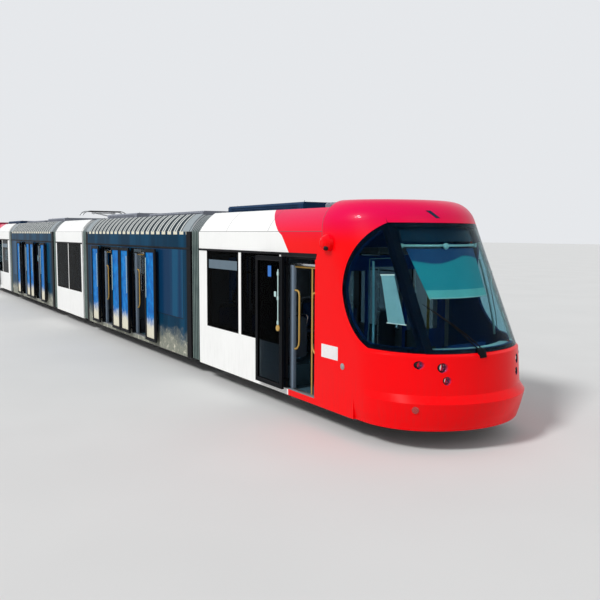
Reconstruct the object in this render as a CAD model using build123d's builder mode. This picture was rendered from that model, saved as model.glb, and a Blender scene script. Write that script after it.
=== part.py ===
"""Five-section low-floor tram, full size, in millimetres.

+X runs forward to the cab that the photograph shows, +Y to the tram's left side and +Z up.
The origin is under the middle of the tram, at the level of the wheel flange tips.
The front half is modelled first, and the rear half is its mirror image, so both have their open doors at -Y.
"""
import os
from math import asin, cos, degrees, radians, sin, sqrt, tan

from build123d import *

os.makedirs("parts", exist_ok=True)

# Lengths of the sections, and of the gaps that the bellows close
cab_length = 6460
gap_length = 420
suspended_length = 7500
centre_length = 3200

# Body cross-section
half_width = 1325
skirt_z = 300
seam_z = 2895
seam_ledge = 75
shoulder_z = 2935
roof_flat_y = 1120
roof_z = 2990
ceiling_z = 2660
ceiling_cove = 260
wall = 62
end_wall = 70
gangway_half_width = 700
gangway_top_z = 2380
frame_inset = 20

# Roof fairings and the boxes between them
fairing_top_z = 3257
fairing_top_y = 1000
fairing_thickness = 28
fairing_bulge = 34

# Windows and doors; places along a section are from its start
cab_door_width = 860
door_to_nose = 170
wide_door_width = 1300
suspended_door_starts = [1440, 3900]
cab_window_x = (365, 1652)
cab_window_pillar = 114
window_to_door = 170
window_beside_door = 60
window_before_cab = 90
end_window_x = 330
last_window_back = 380
centre_window_x = 150
centre_window_pillar = 80
window_top_z = 2530
sill_z = 1080
glass_thickness = 12
glass_border = 45
door_sill_z = 395
door_top_z = 2500
leaf_thickness = 42
leaf_stand_out = 62
leaf_overlap = 90
leaf_gap = 4
leaf_rail = 70
arm_size = 40

# Floor and the boxes over the wheels
floor_z = 375
floor_thickness = 40
aisle_z = 455
aisle_half_width = 640
wheel_box_top_z = 705
wheel_box_wall = 20
sill_beam_width = 125
sill_beam_depth = 75
turntable_radius = 630
turntable_clearance = 12

# Driver's place: bulkhead, desk and seat; the bulkhead and desk are measured back from the cab's tip
bulkhead_back = 2330
bulkhead_thickness = 40
bulkhead_panes = [((-1120, -420), (1300, 2300)), ((420, 1120), (1300, 2300)), ((-350, 350), (900, 2350))]
desk_half_width = 820
desk_backs = [(980, 375), (980, 1000), (900, 1120), (660, 1210), (560, 1210), (560, 375)]
driver_seat_back = 1540
driver_seat_depth = 460
driver_seat_half_width = 250
driver_seat_z = 905
driver_seat_thickness = 90
driver_back_height = 700
driver_back_thickness = 80
driver_foot_half = 85
console_backs = (1480, 975)
console_y = (560, 820)
console_z = 930
cowl_backs = [(930, 1100), (905, 1235), (790, 1255), (705, 1190)]
cowl_half_width = 330

# Wheels, axles and bogie frames
tread_radius = 295
flange_height = 27
wheel_back_y = 680
wheel_width = 125
flange_width = 32
wheel_rim = 45
wheel_web = 34
hub_radius = 105
axle_radius = 62
journal_radius = 55
journal_clearance = 0.08
axle_end_y = 930
wheelbase = 1850
side_beam_y = 885
side_beam_width = 90
side_beam_low_z = 330
side_beam_high_z = 450
axle_box_size = 230
cab_bogie_x = 1770
cross_beam_x = 330
spring_radius = 85
motor_half_length = 480
brake_half_length = 500
brake_z = (55, 125)
brake_from_back = (10, 80)
brake_hanger_x = 420
brake_hanger_half = 15
cross_beam_half = 60
cross_beam_height = 70
motor_width = 210
motor_low_z = 260
motor_high_z = 470
axle_box_width = 100
axle_box_cover = 5
hub_back = 20
hub_front = 12
flange_round = 8
flange_land = 12
flange_foot = 6
tread_rise = 2
tread_fall = 3

# Seats and poles
seat_height = 430
seat_depth = 440
seat_back_thickness = 70
seat_back_height = 620
seat_pan_thickness = 90
seat_aisle_y = 700
seat_wall_y = 1225
pole_radius = 17
pole_y = 640
pole_from_door = 60
end_pole_x = 230
bogie_seat_reach = 1270
bogie_seat_gap = 35
end_seat_x = 330
last_seat_back = 1110
seats_from_doors = [50, 60, 60, 80]
seat_foot_x = (120, 330)
seat_foot_half = 90
pole_after_cab_door = 15

# Roof boxes: half width and top of each kind, and their places along a section
air_unit = (800, 3385)
cab_converter = (620, 3360)
suspended_converter = (760, 3340)
cab_air_unit_start = 240
cab_unit_gap = 380
cab_converter_back = (930, 110)
suspended_air_unit_x = (420, 2900)
suspended_converter_start = 3700
suspended_converter_back = 600
roof_box_chamfer = 30
fan_radius = 250
fan_hub_radius = 80
fan_depth = 70
fan_pitch = 700
fan_guard = 24
slot_height = 16
slot_pitch = 34
slot_depth = 12
slot_count = 3
slot_margin = 150
rib_pitch = 95
rib_gap = 45
rib_depth = 18

# Joints between the fairing panels, from a section's start
fairing_joint = 6
cab_fairing_joints = [1190, 2690]
suspended_fairing_joints = [1520, 2970, 4430, 5890]

# Articulation knuckle, under the gangway floor
knuckle_radius = 105
knuckle_pin_radius = 42
knuckle_plate = 30
tongue_plate = 40
knuckle_play = 2
knuckle_fork_reach = 300
knuckle_tongue_reach = 900
knuckle_block = 250
pin_clearance = 0.08

# Cab nose; each value that ends in back is measured back from the cab's tip
nose_seam_back = 2200
windscreen_radius = 1460
windscreen_half_width = 860
windscreen_back = 175
windscreen_base_z = 1297
windscreen_top_z = 3020
windscreen_rake = 26
windscreen_gap = 6
windscreen_seat = 10
apron_base_z = 775
apron_back = 95
apron_lip_z = 1275
apron_lip_back = 140
cab_top_z = 3357
brow_radius = 430
cab_ceiling_z = 3060
cab_room_chamfer = 130
pillar = 60
side_glass_top_z = 3015
side_glass_low_z = 1310
side_glass_rear = (1690, 2085)
side_glass_upper = (1588, 2590)
side_glass_lower = (1530, 1665)
side_glass_corner = (1130, 1335)
pod_back = 2035
pod_z = 2730
pod_root = 60

# Camera pod turned about a line along Y: distance out of the wall, radius
pod_rings = [(0, 125), (50, 118), (95, 90), (118, 45)]

# Lamps in wells in the apron: y, z, radius
lamp_well_depth = 34
lamp_depth = 30
lamp_table = [(955, 1168, 54), (708, 1136, 64), (663, 968, 54)]

# Bumper; its sections give z, distance of the front behind the cab's tip, and half width
bumper_wrap = 1400
bumper_wall = 45
bumper_sections = [(300, 120, 1285), (450, 65, 1315), (600, 20, 1325), (675, 0, 1325),
                   (apron_base_z, apron_back, 1325)]

# Bellows
bellows_inset = 34
bellows_thickness = 55
bellows_fit = 0.3
portal_fit = 0.3

# Pantograph, folded on the centre section
arm_length = 1150
arm_rest_angle = 7
panto_base_x = -560
panto_pivot_z = 3240
lower_arm_radius = 45
upper_arm_radius = 22
upper_arm_spread = 280
strip_length = 1050
strip_spacing = 380
panto_pin_radius = 25
panto_pin_reach = 150
head_bar_radius = 18
base_half_length = 780
base_half_width = 400
base_rail_width = 60
base_rail_drop = (120, 60)
bracket_half = 40
bracket_y = (120, 150)
bracket_rise = 45
lower_boss = (112, 60)
knee_boss = (72, 55)
upper_boss_y = 110
upper_boss_half = 30
upper_boss_radius = 42
head_bar_overhang = 60
cradle_width = 30
cradle_rise = 30
cradle_drop = 45
cradle_half = 20
strip_half_width = 25
strip_height = 35
horn_radius = 17
horn_bend = 250
horn_turn = 62
horn_overlap = 5
insulator_radius = 45
shed_radius = 66
shed_pitch = 40
shed_thickness = 12

axle_z = tread_radius + flange_height
flange_radius = tread_radius + flange_height
centre_end = centre_length / 2
centre_pivot = centre_end + gap_length / 2
suspended_start = centre_end + gap_length
suspended_end = suspended_start + suspended_length
cab_pivot = suspended_end + gap_length / 2
cab_start = suspended_end + gap_length
cab_tip = cab_start + cab_length
nose_x = cab_tip - nose_seam_back
nose_seam_x = cab_length - nose_seam_back
bumper_back_x = cab_tip - bumper_wrap
bogie_half = wheelbase / 2 + flange_radius + 75

# Doorways along a section, from its start: start, end, number of leaves
cab_door_x = (nose_seam_x - door_to_nose - cab_door_width, nose_seam_x - door_to_nose)
cab_doors = [(*cab_door_x, 1)]
suspended_doors = [(start, start + wide_door_width, 2) for start in suspended_door_starts]

# Panes along a section, from its start: start, end
cab_windows = [cab_window_x, (cab_window_x[1] + cab_window_pillar, cab_door_x[0] - window_to_door)]
suspended_windows = [(end_window_x, suspended_doors[0][0] - window_beside_door),
                     (suspended_doors[0][1] + window_beside_door, suspended_doors[1][0] - window_beside_door),
                     (suspended_doors[1][1] + window_before_cab, suspended_length - last_window_back)]
centre_windows = [(centre_window_x, (centre_length - centre_window_pillar) / 2),
                  ((centre_length + centre_window_pillar) / 2, centre_length - centre_window_x)]

# Seats along a section, from its start: back of the seat, way that it faces
bogie_rows = [(-bogie_seat_reach, 1), (-bogie_seat_gap, -1), (bogie_seat_gap, 1), (bogie_seat_reach, -1)]
cab_seats = [(cab_bogie_x + x, way) for x, way in bogie_rows]
centre_seats = [(centre_length / 2 + x, way) for x, way in bogie_rows]
suspended_seats = [(end_seat_x, 1), (suspended_doors[0][0] - seats_from_doors[0], -1),
                   (suspended_doors[0][1] + seats_from_doors[1], 1),
                   (suspended_doors[1][0] - seats_from_doors[2], -1),
                   (suspended_doors[1][1] + seats_from_doors[3], 1), (suspended_length - last_seat_back, -1)]

# Grab poles along a section, from its start
cab_poles = [cab_door_x[0] - pole_from_door, cab_door_x[1] + pole_after_cab_door]
suspended_poles = [x for low, high, leaves in suspended_doors for x in (low, high)]
centre_poles = [end_pole_x, centre_length - end_pole_x]

# Boxes on the roof: start, end, half width, top
cab_converter_x = (nose_seam_x - cab_converter_back[0], nose_seam_x - cab_converter_back[1])
cab_air_units = [(cab_air_unit_start, cab_converter_x[0] - cab_unit_gap, *air_unit)]
cab_converters = [(*cab_converter_x, *cab_converter)]
suspended_air_units = [(*suspended_air_unit_x, *air_unit)]
suspended_converters = [(suspended_converter_start, suspended_length - suspended_converter_back,
                         *suspended_converter)]


def box(x, y, z, mode=Mode.ADD):
    """Block between two values along each axis."""
    centre = tuple((low + high) / 2 for low, high in (x, y, z))
    size = [high - low for low, high in (x, y, z)]
    with Locations(centre):
        Box(*size, mode=mode)


def both_sides(x, y, z, mode=Mode.ADD):
    """The same block at +Y and at -Y."""
    box(x, y, z, mode)
    box(x, (-y[1], -y[0]), z, mode)


def closed_outline(half):
    """Outline given as its +Y half, from the bottom up."""
    return half + [(-y, z) for y, z in reversed(half)]


def across(x):
    """Plane across the tram: its own x is +Y, and its own y is +Z."""
    return Plane.YZ.offset(x)


def prism(half, x, mode):
    """Straight block along X from the +Y half of its cross-section."""
    with BuildSketch(across(x[0])) as section:
        with BuildLine():
            Polyline(*closed_outline(half), close=True)
        make_face()
    extrude(section.sketch, amount=x[1] - x[0], mode=mode)


def body_block(x):
    """Solid cross-section of a section's body."""
    shoulder_y = half_width - seam_ledge
    half = [(half_width, skirt_z), (half_width, seam_z), (shoulder_y, seam_z),
            (shoulder_y, shoulder_z), (roof_flat_y, roof_z)]
    prism(half, x, Mode.ADD)


def room_block(x, mode=Mode.SUBTRACT):
    """Room inside a section, down to the open underside."""
    room_y = half_width - wall
    half = [(room_y, skirt_z - 1), (room_y, ceiling_z - ceiling_cove / 2),
            (room_y - ceiling_cove, ceiling_z)]
    prism(half, x, mode)


def shoulder_block(x, inset, low_z, mode=Mode.ADD):
    """Straight block along X with the outline of a section and its fairings, smaller by inset."""
    low = (half_width - inset, seam_z)
    high = (fairing_top_y - inset, fairing_top_z - inset)
    middle = arc_middle(low, high, fairing_bulge)
    with BuildSketch(across(x[0])) as section:
        with BuildLine():
            Polyline((-low[0], low[1]), (-low[0], low_z), (low[0], low_z), low)
            ThreePointArc(low, middle, high)
            Line(high, (-high[0], high[1]))
            ThreePointArc((-high[0], high[1]), (-middle[0], middle[1]), (-low[0], low[1]))
        make_face()
    extrude(section.sketch, amount=x[1] - x[0], mode=mode)


def arc_middle(low, high, bulge):
    """Middle of a shallow arc that rises from low to high and bulges outward."""
    chord = Vector(high[0] - low[0], high[1] - low[1])
    out = Vector(chord.Y, -chord.X).normalized() * bulge
    return ((low[0] + high[0]) / 2 + out.X, (low[1] + high[1]) / 2 + out.Y)


def end_frame(x):
    """Frame that the bellows close on, with the gangway's opening still to be cut."""
    shoulder_block(x, frame_inset, skirt_z)


def cut_windows(start, panes):
    """Recess for each pane, and the opening behind it."""
    for low, high in panes:
        x = (start + low, start + high)
        opening_x = (x[0] + glass_border, x[1] - glass_border)
        both_sides(x, (half_width - glass_thickness, half_width + 1), (sill_z, window_top_z), Mode.SUBTRACT)
        both_sides(opening_x, (half_width - wall - 1, half_width),
                   (sill_z + glass_border, window_top_z - glass_border), Mode.SUBTRACT)


def cut_doorways(start, doorways):
    for low, high, leaves in doorways:
        both_sides((start + low, start + high), (half_width - wall - 1, half_width + 1),
                   (door_sill_z, door_top_z), Mode.SUBTRACT)


def section_shell(start, length, ends, panes, doorways):
    """Hollow body with end frames where ends has a 1: rear, front."""
    end = start + length
    inside = (start + ends[0] * end_wall, end - ends[1] * end_wall)
    with BuildPart() as shell:
        body_block((start, end))
        if ends[0]:
            end_frame((start, start + end_wall))
        if ends[1]:
            end_frame((end - end_wall, end))
        room_block(inside)
        box((start - 1, end + 1), (-gangway_half_width, gangway_half_width),
            (skirt_z - 1, gangway_top_z), Mode.SUBTRACT)
        cut_windows(start, panes)
        cut_doorways(start, doorways)
    return shell.part


def open_leaves(low, high, leaves):
    """Where the open leaves of a doorway stand: start, end, jamb, way to the jamb's wall."""
    width = (high - low) / leaves - leaf_gap
    if leaves == 1:
        return [(low + leaf_overlap - width, low + leaf_overlap, low, 1)]
    return [(low + leaf_overlap - width, low + leaf_overlap, low, 1),
            (high - leaf_overlap, high - leaf_overlap + width, high, -1)]


def shut_leaves(low, high, leaves):
    """Where the shut leaves of a doorway stand: start, end."""
    width = (high - low) / leaves - leaf_gap
    if leaves == 1:
        return [(low + leaf_gap / 2, high - leaf_gap / 2)]
    middle = (low + high) / 2
    return [(middle - leaf_gap / 2 - width, middle - leaf_gap / 2),
            (middle + leaf_gap / 2, middle + leaf_gap / 2 + width)]


def leaf_frame(x, y):
    z = (door_sill_z, door_top_z)
    box(x, y, z)
    box((x[0] + leaf_rail, x[1] - leaf_rail), y, (z[0] + leaf_rail, z[1] - leaf_rail), Mode.SUBTRACT)


def leaf_pane(x, y):
    middle = (y[0] + y[1]) / 2
    box((x[0] + leaf_rail, x[1] - leaf_rail),
        (middle - glass_thickness / 2, middle + glass_thickness / 2),
        (door_sill_z + leaf_rail, door_top_z - leaf_rail))


open_leaf_y = (-half_width - leaf_stand_out - leaf_thickness, -half_width - leaf_stand_out)
shut_leaf_y = (half_width - leaf_thickness, half_width)


def section_doors(start, doorways):
    """Door leaves: open on the -Y side, on their arms, and shut on the +Y side."""
    with BuildPart() as doors:
        for low, high, leaves in doorways:
            for x0, x1, jamb, way in open_leaves(low, high, leaves):
                leaf_frame((start + x0, start + x1), open_leaf_y)
                arm_x = sorted((start + jamb, start + jamb + way * arm_size))
                for z in (door_sill_z + leaf_rail + arm_size, door_top_z - leaf_rail - 2 * arm_size):
                    box(arm_x, (open_leaf_y[1], -half_width + wall), (z, z + arm_size))
            for x0, x1 in shut_leaves(low, high, leaves):
                leaf_frame((start + x0, start + x1), shut_leaf_y)
    return doors.part


def section_glass(start, panes, doorways):
    with BuildPart() as glass:
        for low, high in panes:
            both_sides((start + low, start + high), (half_width - glass_thickness, half_width),
                       (sill_z, window_top_z))
        for low, high, leaves in doorways:
            for x0, x1, jamb, way in open_leaves(low, high, leaves):
                leaf_pane((start + x0, start + x1), open_leaf_y)
            for x0, x1 in shut_leaves(low, high, leaves):
                leaf_pane((start + x0, start + x1), shut_leaf_y)
    return glass.part


def floor_plate(x, y=None):
    room_y = half_width - wall
    y = y or (-room_y, room_y)
    box(x, y, (floor_z - floor_thickness, floor_z))


def side_sills(x):
    room_y = half_width - wall
    low_z = floor_z - floor_thickness - sill_beam_depth
    both_sides(x, (room_y - sill_beam_width, room_y), (low_z, floor_z - floor_thickness))


def bogie_floor(x):
    """Raised aisle and the two long boxes over the wheels of one bogie."""
    room_y = half_width - wall
    box(x, (-aisle_half_width - wheel_box_wall, aisle_half_width + wheel_box_wall),
        (aisle_z - floor_thickness, aisle_z))
    box_z = (aisle_z - floor_thickness, wheel_box_top_z)
    for low, high in ((x[0], x[0] + wheel_box_wall), (x[1] - wheel_box_wall, x[1])):
        box((low, high), (-room_y, room_y), (floor_z - floor_thickness, box_z[0]))
    both_sides(x, (aisle_half_width, room_y), box_z)
    both_sides((x[0] + wheel_box_wall, x[1] - wheel_box_wall),
               (aisle_half_width + wheel_box_wall, room_y - wheel_box_wall),
               (box_z[0], box_z[1] - wheel_box_wall), Mode.SUBTRACT)


def disc(x, radius, z, mode=Mode.ADD):
    with Locations((x, 0, (z[0] + z[1]) / 2)):
        Cylinder(radius, z[1] - z[0], mode=mode)


fork_low = (floor_z - floor_thickness - 2 * knuckle_plate - tongue_plate - 2 * knuckle_play,
            floor_z - floor_thickness - knuckle_plate - tongue_plate - 2 * knuckle_play)
tongue_z = (fork_low[1] + knuckle_play, fork_low[1] + knuckle_play + tongue_plate)
fork_high = (tongue_z[1] + knuckle_play, floor_z - floor_thickness)


def knuckle_fork(pivot, way):
    """Turntable, fork and pin on the section that carries the pivot; way points out of it."""
    root = pivot - way * (gap_length / 2)
    back = root - way * knuckle_fork_reach
    box(sorted((root - way * end_wall, pivot)), (-turntable_radius, turntable_radius),
        (floor_z - floor_thickness, floor_z))
    disc(pivot, turntable_radius, (floor_z - floor_thickness, floor_z))
    for z in (fork_low, fork_high):
        box(sorted((back, pivot)), (-knuckle_radius, knuckle_radius), z)
        disc(pivot, knuckle_radius, z)
    box(sorted((back, root)), (-knuckle_radius, knuckle_radius), (fork_low[0], floor_z - floor_thickness))
    disc(pivot, knuckle_pin_radius, (fork_low[0], fork_high[1]))


def knuckle_tongue(pivot, way):
    """Tongue with its bore on the section that hangs on the pivot; way points into that section."""
    root = pivot + way * (gap_length / 2)
    back = root + way * knuckle_tongue_reach
    box(sorted((back, pivot)), (-knuckle_radius, knuckle_radius), tongue_z)
    disc(pivot, knuckle_radius, tongue_z)
    disc(pivot, knuckle_pin_radius + pin_clearance, tongue_z, Mode.SUBTRACT)
    box(sorted((back, back - way * knuckle_block)), (-knuckle_radius, knuckle_radius),
        (tongue_z[0], floor_z - floor_thickness))


def floor_recess(pivot):
    """Round recess in a hanging section's floor for the turntable."""
    disc(pivot, turntable_radius + turntable_clearance, (floor_z - floor_thickness - 1, floor_z + 1),
         Mode.SUBTRACT)


def fairing_pair(x):
    """The two curved side fairings between x[0] and x[1]."""
    low = (half_width, seam_z)
    high = (fairing_top_y, fairing_top_z)
    middle = arc_middle(low, high, fairing_bulge)
    for side in (1, -1):
        with BuildSketch(across(x[0])) as section:
            with BuildLine():
                ThreePointArc((side * low[0], low[1]), (side * middle[0], middle[1]),
                              (side * high[0], high[1]))
                Line((side * high[0], high[1]), (side * (high[0] - fairing_thickness), high[1]))
                ThreePointArc((side * (high[0] - fairing_thickness), high[1]),
                              (side * (middle[0] - fairing_thickness), middle[1]),
                              (side * (low[0] - fairing_thickness), low[1]))
                Line((side * (low[0] - fairing_thickness), low[1]), (side * low[0], low[1]))
            make_face()
        extrude(section.sketch, amount=x[1] - x[0])


def places(low, high, pitch):
    """Middles of as many equal places as fit between two values."""
    count = int((high - low) / pitch)
    first = (low + high - (count - 1) * pitch) / 2
    return [first + i * pitch for i in range(count)]


def roof_box(x, half, top):
    """Equipment box with its upper long edges cut off."""
    prism([(half, roof_z), (half, top - roof_box_chamfer), (half - roof_box_chamfer, top)], x, Mode.ADD)


def fan(x, top):
    """Fan let into a box's top: a round well with its hub and the two bars of its guard."""
    top_down = (Align.CENTER, Align.CENTER, Align.MAX)
    with Locations((x, 0, top)):
        Cylinder(fan_radius, fan_depth, align=top_down, mode=Mode.SUBTRACT)
        Cylinder(fan_hub_radius, fan_depth, align=top_down)
        Box(2 * fan_radius, fan_guard, fan_guard, align=top_down)
        Box(fan_guard, 2 * fan_radius, fan_guard, align=top_down)


def side_slots(x, half, top):
    """Air slots along both sides of a box, below its cut-off edges."""
    for i in range(slot_count):
        z = top - roof_box_chamfer - (i + 1) * slot_pitch
        both_sides((x[0] + slot_margin, x[1] - slot_margin), (half - slot_depth, half + 1),
                   (z, z + slot_height), Mode.SUBTRACT)


def cooling_ribs(x, half, top):
    """Grooves across a box's top that leave ribs between them."""
    for middle in places(*x, rib_pitch):
        box((middle - rib_gap / 2, middle + rib_gap / 2), (-half - 1, half + 1), (top - rib_depth, top + 1),
            Mode.SUBTRACT)


def roof_gear(start, fairing_x, joints, air_units, converters):
    """Fairing panels, and the air units and converters that stand on the roof between them.

    A row of boxes gives its start, end, half width and top.
    """
    edges_x = [fairing_x[0] - fairing_joint / 2, *joints, fairing_x[1] + fairing_joint / 2]
    with BuildPart() as gear:
        for low, high in zip(edges_x, edges_x[1:]):
            fairing_pair((start + low + fairing_joint / 2, start + high - fairing_joint / 2))
        for low, high, half, top in air_units:
            x = (start + low, start + high)
            roof_box(x, half, top)
            side_slots(x, half, top)
            for middle in places(*x, fan_pitch):
                fan(middle, top)
        for low, high, half, top in converters:
            x = (start + low, start + high)
            roof_box(x, half, top)
            side_slots(x, half, top)
            cooling_ribs(x, half, top)
    return gear.part


def bellows(x):
    """Ribbed gaiter's plain form: two sides and a roof with round shoulders."""
    with BuildPart() as gaiter:
        shoulder_block(x, bellows_inset, skirt_z)
        shoulder_block(x, bellows_inset + bellows_thickness, skirt_z - 1, Mode.SUBTRACT)
    return gaiter.part


def nose_outline(z, tip, back, half=half_width, inset=0):
    """Plan of the cab's front at height z: a wide front arc, round corners and flat sides.

    The corner arc leaves the front arc at the windscreen's edge and ends along the side at half.
    """
    radius = windscreen_radius
    break_y = windscreen_half_width
    turn = degrees(asin(break_y / radius))
    corner = (half - break_y) / (1 - sin(radians(turn)))
    front_x = tip - radius
    corner_x = front_x + (radius - corner) * cos(radians(turn))
    corner_y = (radius - corner) * sin(radians(turn))
    side = half - inset
    with BuildSketch(Plane.XY.offset(z)) as plan:
        with BuildLine():
            CenterArc((front_x, 0), radius - inset, -turn, 2 * turn)
            CenterArc((corner_x, corner_y), corner - inset, turn, 90 - turn)
            CenterArc((corner_x, -corner_y), corner - inset, -90, 90 - turn)
            Polyline((corner_x, side), (back, side), (back, -side), (corner_x, -side))
        make_face()
    return plan.sketch


def cab_plan(z, inset, front_back=windscreen_back):
    return nose_outline(z, cab_tip - front_back, nose_x - 10, half_width, inset)


def cab_top(inset, top_z, radius, soften=fillet):
    """Cab above the windscreen's foot, raked back, with its brow softened by a fillet or a chamfer."""
    rise = top_z - windscreen_base_z
    with BuildPart() as upper:
        extrude(cab_plan(windscreen_base_z, inset), amount=rise / cos(radians(windscreen_rake)),
                dir=(-sin(radians(windscreen_rake)), 0, cos(radians(windscreen_rake))))
        brow = upper.edges().group_by(Axis.Z)[-1].filter_by(Axis.Y, reverse=True)
        soften(brow, radius)
    return upper.part


def cab_apron(inset):
    """Cab from the bumper's ledge up to the windscreen's foot, with a sloping lip below the glass."""
    sections = [(apron_base_z, apron_back), (apron_lip_z, apron_lip_back), (windscreen_base_z, windscreen_back)]
    with BuildPart() as lower:
        loft([cab_plan(z, inset, back) for z, back in sections], ruled=True)
    return lower.part


def side_glass_block(inset, mode):
    """Block right across the cab with the outline of its rounded side windows.

    The outline runs forward to the windscreen's seam, and is smaller all round by inset.
    """
    slope = tan(radians(windscreen_rake))
    edge_x = cab_tip - windscreen_back - windscreen_radius + sqrt(
        windscreen_radius ** 2 - windscreen_half_width ** 2) - windscreen_gap / 2
    top = (edge_x - slope * (side_glass_top_z - windscreen_base_z), side_glass_top_z)
    foot = (edge_x - slope * (side_glass_low_z - windscreen_base_z), side_glass_low_z)
    rear, upper, lower, corner = [(cab_tip - back, z) for back, z in (
        side_glass_rear, side_glass_upper, side_glass_lower, side_glass_corner)]
    with BuildSketch(Plane.XZ) as outline:
        with BuildLine():
            ThreePointArc(top, upper, rear)
            ThreePointArc(rear, lower, corner)
            Polyline(corner, foot, top)
        make_face()
        if inset:
            offset(amount=-inset, kind=Kind.INTERSECTION, mode=Mode.REPLACE)
    extrude(outline.sketch, amount=half_width + 10, both=True, mode=mode)


def glass_skin():
    """Outer skin of the cab, as thick as its glass."""
    return cab_top(0, cab_top_z, brow_radius) - cab_top(glass_thickness, cab_top_z - glass_thickness,
                                                       brow_radius - glass_thickness)


def lamp_plug(y, z, radius, outside, inside):
    """Round plug through the apron's skin, between two insets of the apron."""
    with BuildPart() as plug:
        with Locations(Plane((nose_x, y, z), x_dir=(0, 1, 0), z_dir=(1, 0, 0))):
            Cylinder(radius, cab_length, align=(Align.CENTER, Align.CENTER, Align.MIN))
        add(cab_apron(outside), mode=Mode.INTERSECT)
        add(cab_apron(inside), mode=Mode.SUBTRACT)
    return plug.part


def camera_pod(side):
    """Rounded camera housing high on the cab's side; it runs a little into the wall."""
    profile = [(0, -pod_root)] + [(radius, y) for y, radius in [(-pod_root, pod_rings[0][1])] + pod_rings]
    profile.append((0, pod_rings[-1][0]))
    middle = (cab_tip - pod_back, side * half_width, pod_z)
    with BuildSketch(Plane(middle, x_dir=(1, 0, 0), z_dir=(0, 0, side))) as half:
        with BuildLine():
            Polyline(*profile, close=True)
        make_face()
    revolve(half.sketch, axis=Axis(middle, (0, 1, 0)))


def wheelset(x):
    """Axle with its two flanged wheels, turned about its own axis."""
    back = wheel_back_y
    face = back + wheel_width
    rim = tread_radius - wheel_rim
    web = (back + face - wheel_web) / 2
    half = [
        (axle_radius, back - hub_back), (hub_radius, back - hub_back), (hub_radius, web), (rim, web),
        (rim, back), (flange_radius - flange_round, back), (flange_radius, back + flange_round),
        (flange_radius, back + flange_width - flange_land),
        (tread_radius + tread_rise, back + flange_width + flange_foot),
        (tread_radius - tread_fall, face), (rim, face), (rim, web + wheel_web), (hub_radius, web + wheel_web),
        (hub_radius, face + hub_front), (journal_radius, face + hub_front), (journal_radius, axle_end_y),
        (0, axle_end_y),
    ]
    with BuildPart() as axle:
        with BuildSketch(Plane((x, 0, axle_z))):
            with BuildLine():
                Polyline(*half, *[(r, -y) for r, y in reversed(half)], close=True)
            make_face()
        revolve(axis=Axis((x, 0, axle_z), (0, 1, 0)))
    return axle.part


def bogie_frame(x):
    """Frame outside the wheels, with axle boxes, springs, motors and rail brakes."""
    beam_y = (side_beam_y - side_beam_width / 2, side_beam_y + side_beam_width / 2)
    beam_z = (side_beam_low_z, side_beam_high_z)
    brake_y = (wheel_back_y + brake_from_back[0], wheel_back_y + brake_from_back[1])
    axles = (x - wheelbase / 2, x + wheelbase / 2)
    with BuildPart() as frame:
        both_sides((axles[0], axles[1]), beam_y, beam_z)
        for axle_x in axles:
            reach = axle_box_size / 2
            both_sides((axle_x - reach, axle_x + reach),
                       (axle_end_y + axle_box_cover - axle_box_width, axle_end_y + axle_box_cover),
                       (axle_z - reach, axle_z + reach))
        for way in (-1, 1):
            cross_x = x + way * cross_beam_x
            box((cross_x - cross_beam_half, cross_x + cross_beam_half), (-beam_y[0], beam_y[0]),
                (side_beam_low_z, side_beam_low_z + cross_beam_height))
            for side in (-1, 1):
                with Locations((cross_x, side * side_beam_y, side_beam_high_z)):
                    Cylinder(spring_radius, wheel_box_top_z - wheel_box_wall - side_beam_high_z,
                             align=(Align.CENTER, Align.CENTER, Align.MIN))
            hanger_x = x + way * brake_hanger_x
            both_sides((hanger_x - brake_hanger_half, hanger_x + brake_hanger_half), (brake_y[0], beam_y[1]),
                       (brake_z[1], side_beam_low_z))
        both_sides((x - motor_half_length, x + motor_half_length), (beam_y[1], beam_y[1] + motor_width),
                   (motor_low_z, motor_high_z))
        both_sides((x - brake_half_length, x + brake_half_length), brake_y, brake_z)
        for axle_x in axles:
            with Locations(Plane((axle_x, 0, axle_z), x_dir=(1, 0, 0), z_dir=(0, 1, 0))):
                Cylinder(journal_radius + journal_clearance, 2 * half_width, mode=Mode.SUBTRACT)
    return frame.part


def seat(x, facing, y, pan_z, foot_z):
    """Seat with its pedestal; facing is +1 for a passenger who looks along +X."""
    deep = sorted((x, x + facing * seat_depth))
    back = sorted((x, x + facing * seat_back_thickness))
    box(deep, y, (pan_z - seat_pan_thickness, pan_z))
    box(back, y, (pan_z, pan_z + seat_back_height))
    middle = (y[0] + y[1]) / 2
    foot = sorted((x + facing * seat_foot_x[0], x + facing * seat_foot_x[1]))
    box(foot, (middle - seat_foot_half, middle + seat_foot_half), (foot_z, pan_z - seat_pan_thickness))


def driver_seat():
    """Driver's seat: cushion, back and foot."""
    low_x = cab_tip - driver_seat_back
    wide = (-driver_seat_half_width, driver_seat_half_width)
    cushion_z = driver_seat_z - driver_seat_thickness
    box((low_x, low_x + driver_seat_depth), wide, (cushion_z, driver_seat_z))
    box((low_x - driver_back_thickness, low_x), wide, (cushion_z, cushion_z + driver_back_height))
    middle = low_x + driver_seat_depth / 2
    box((middle - driver_foot_half, middle + driver_foot_half), (-driver_foot_half, driver_foot_half),
        (floor_z, cushion_z))


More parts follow.
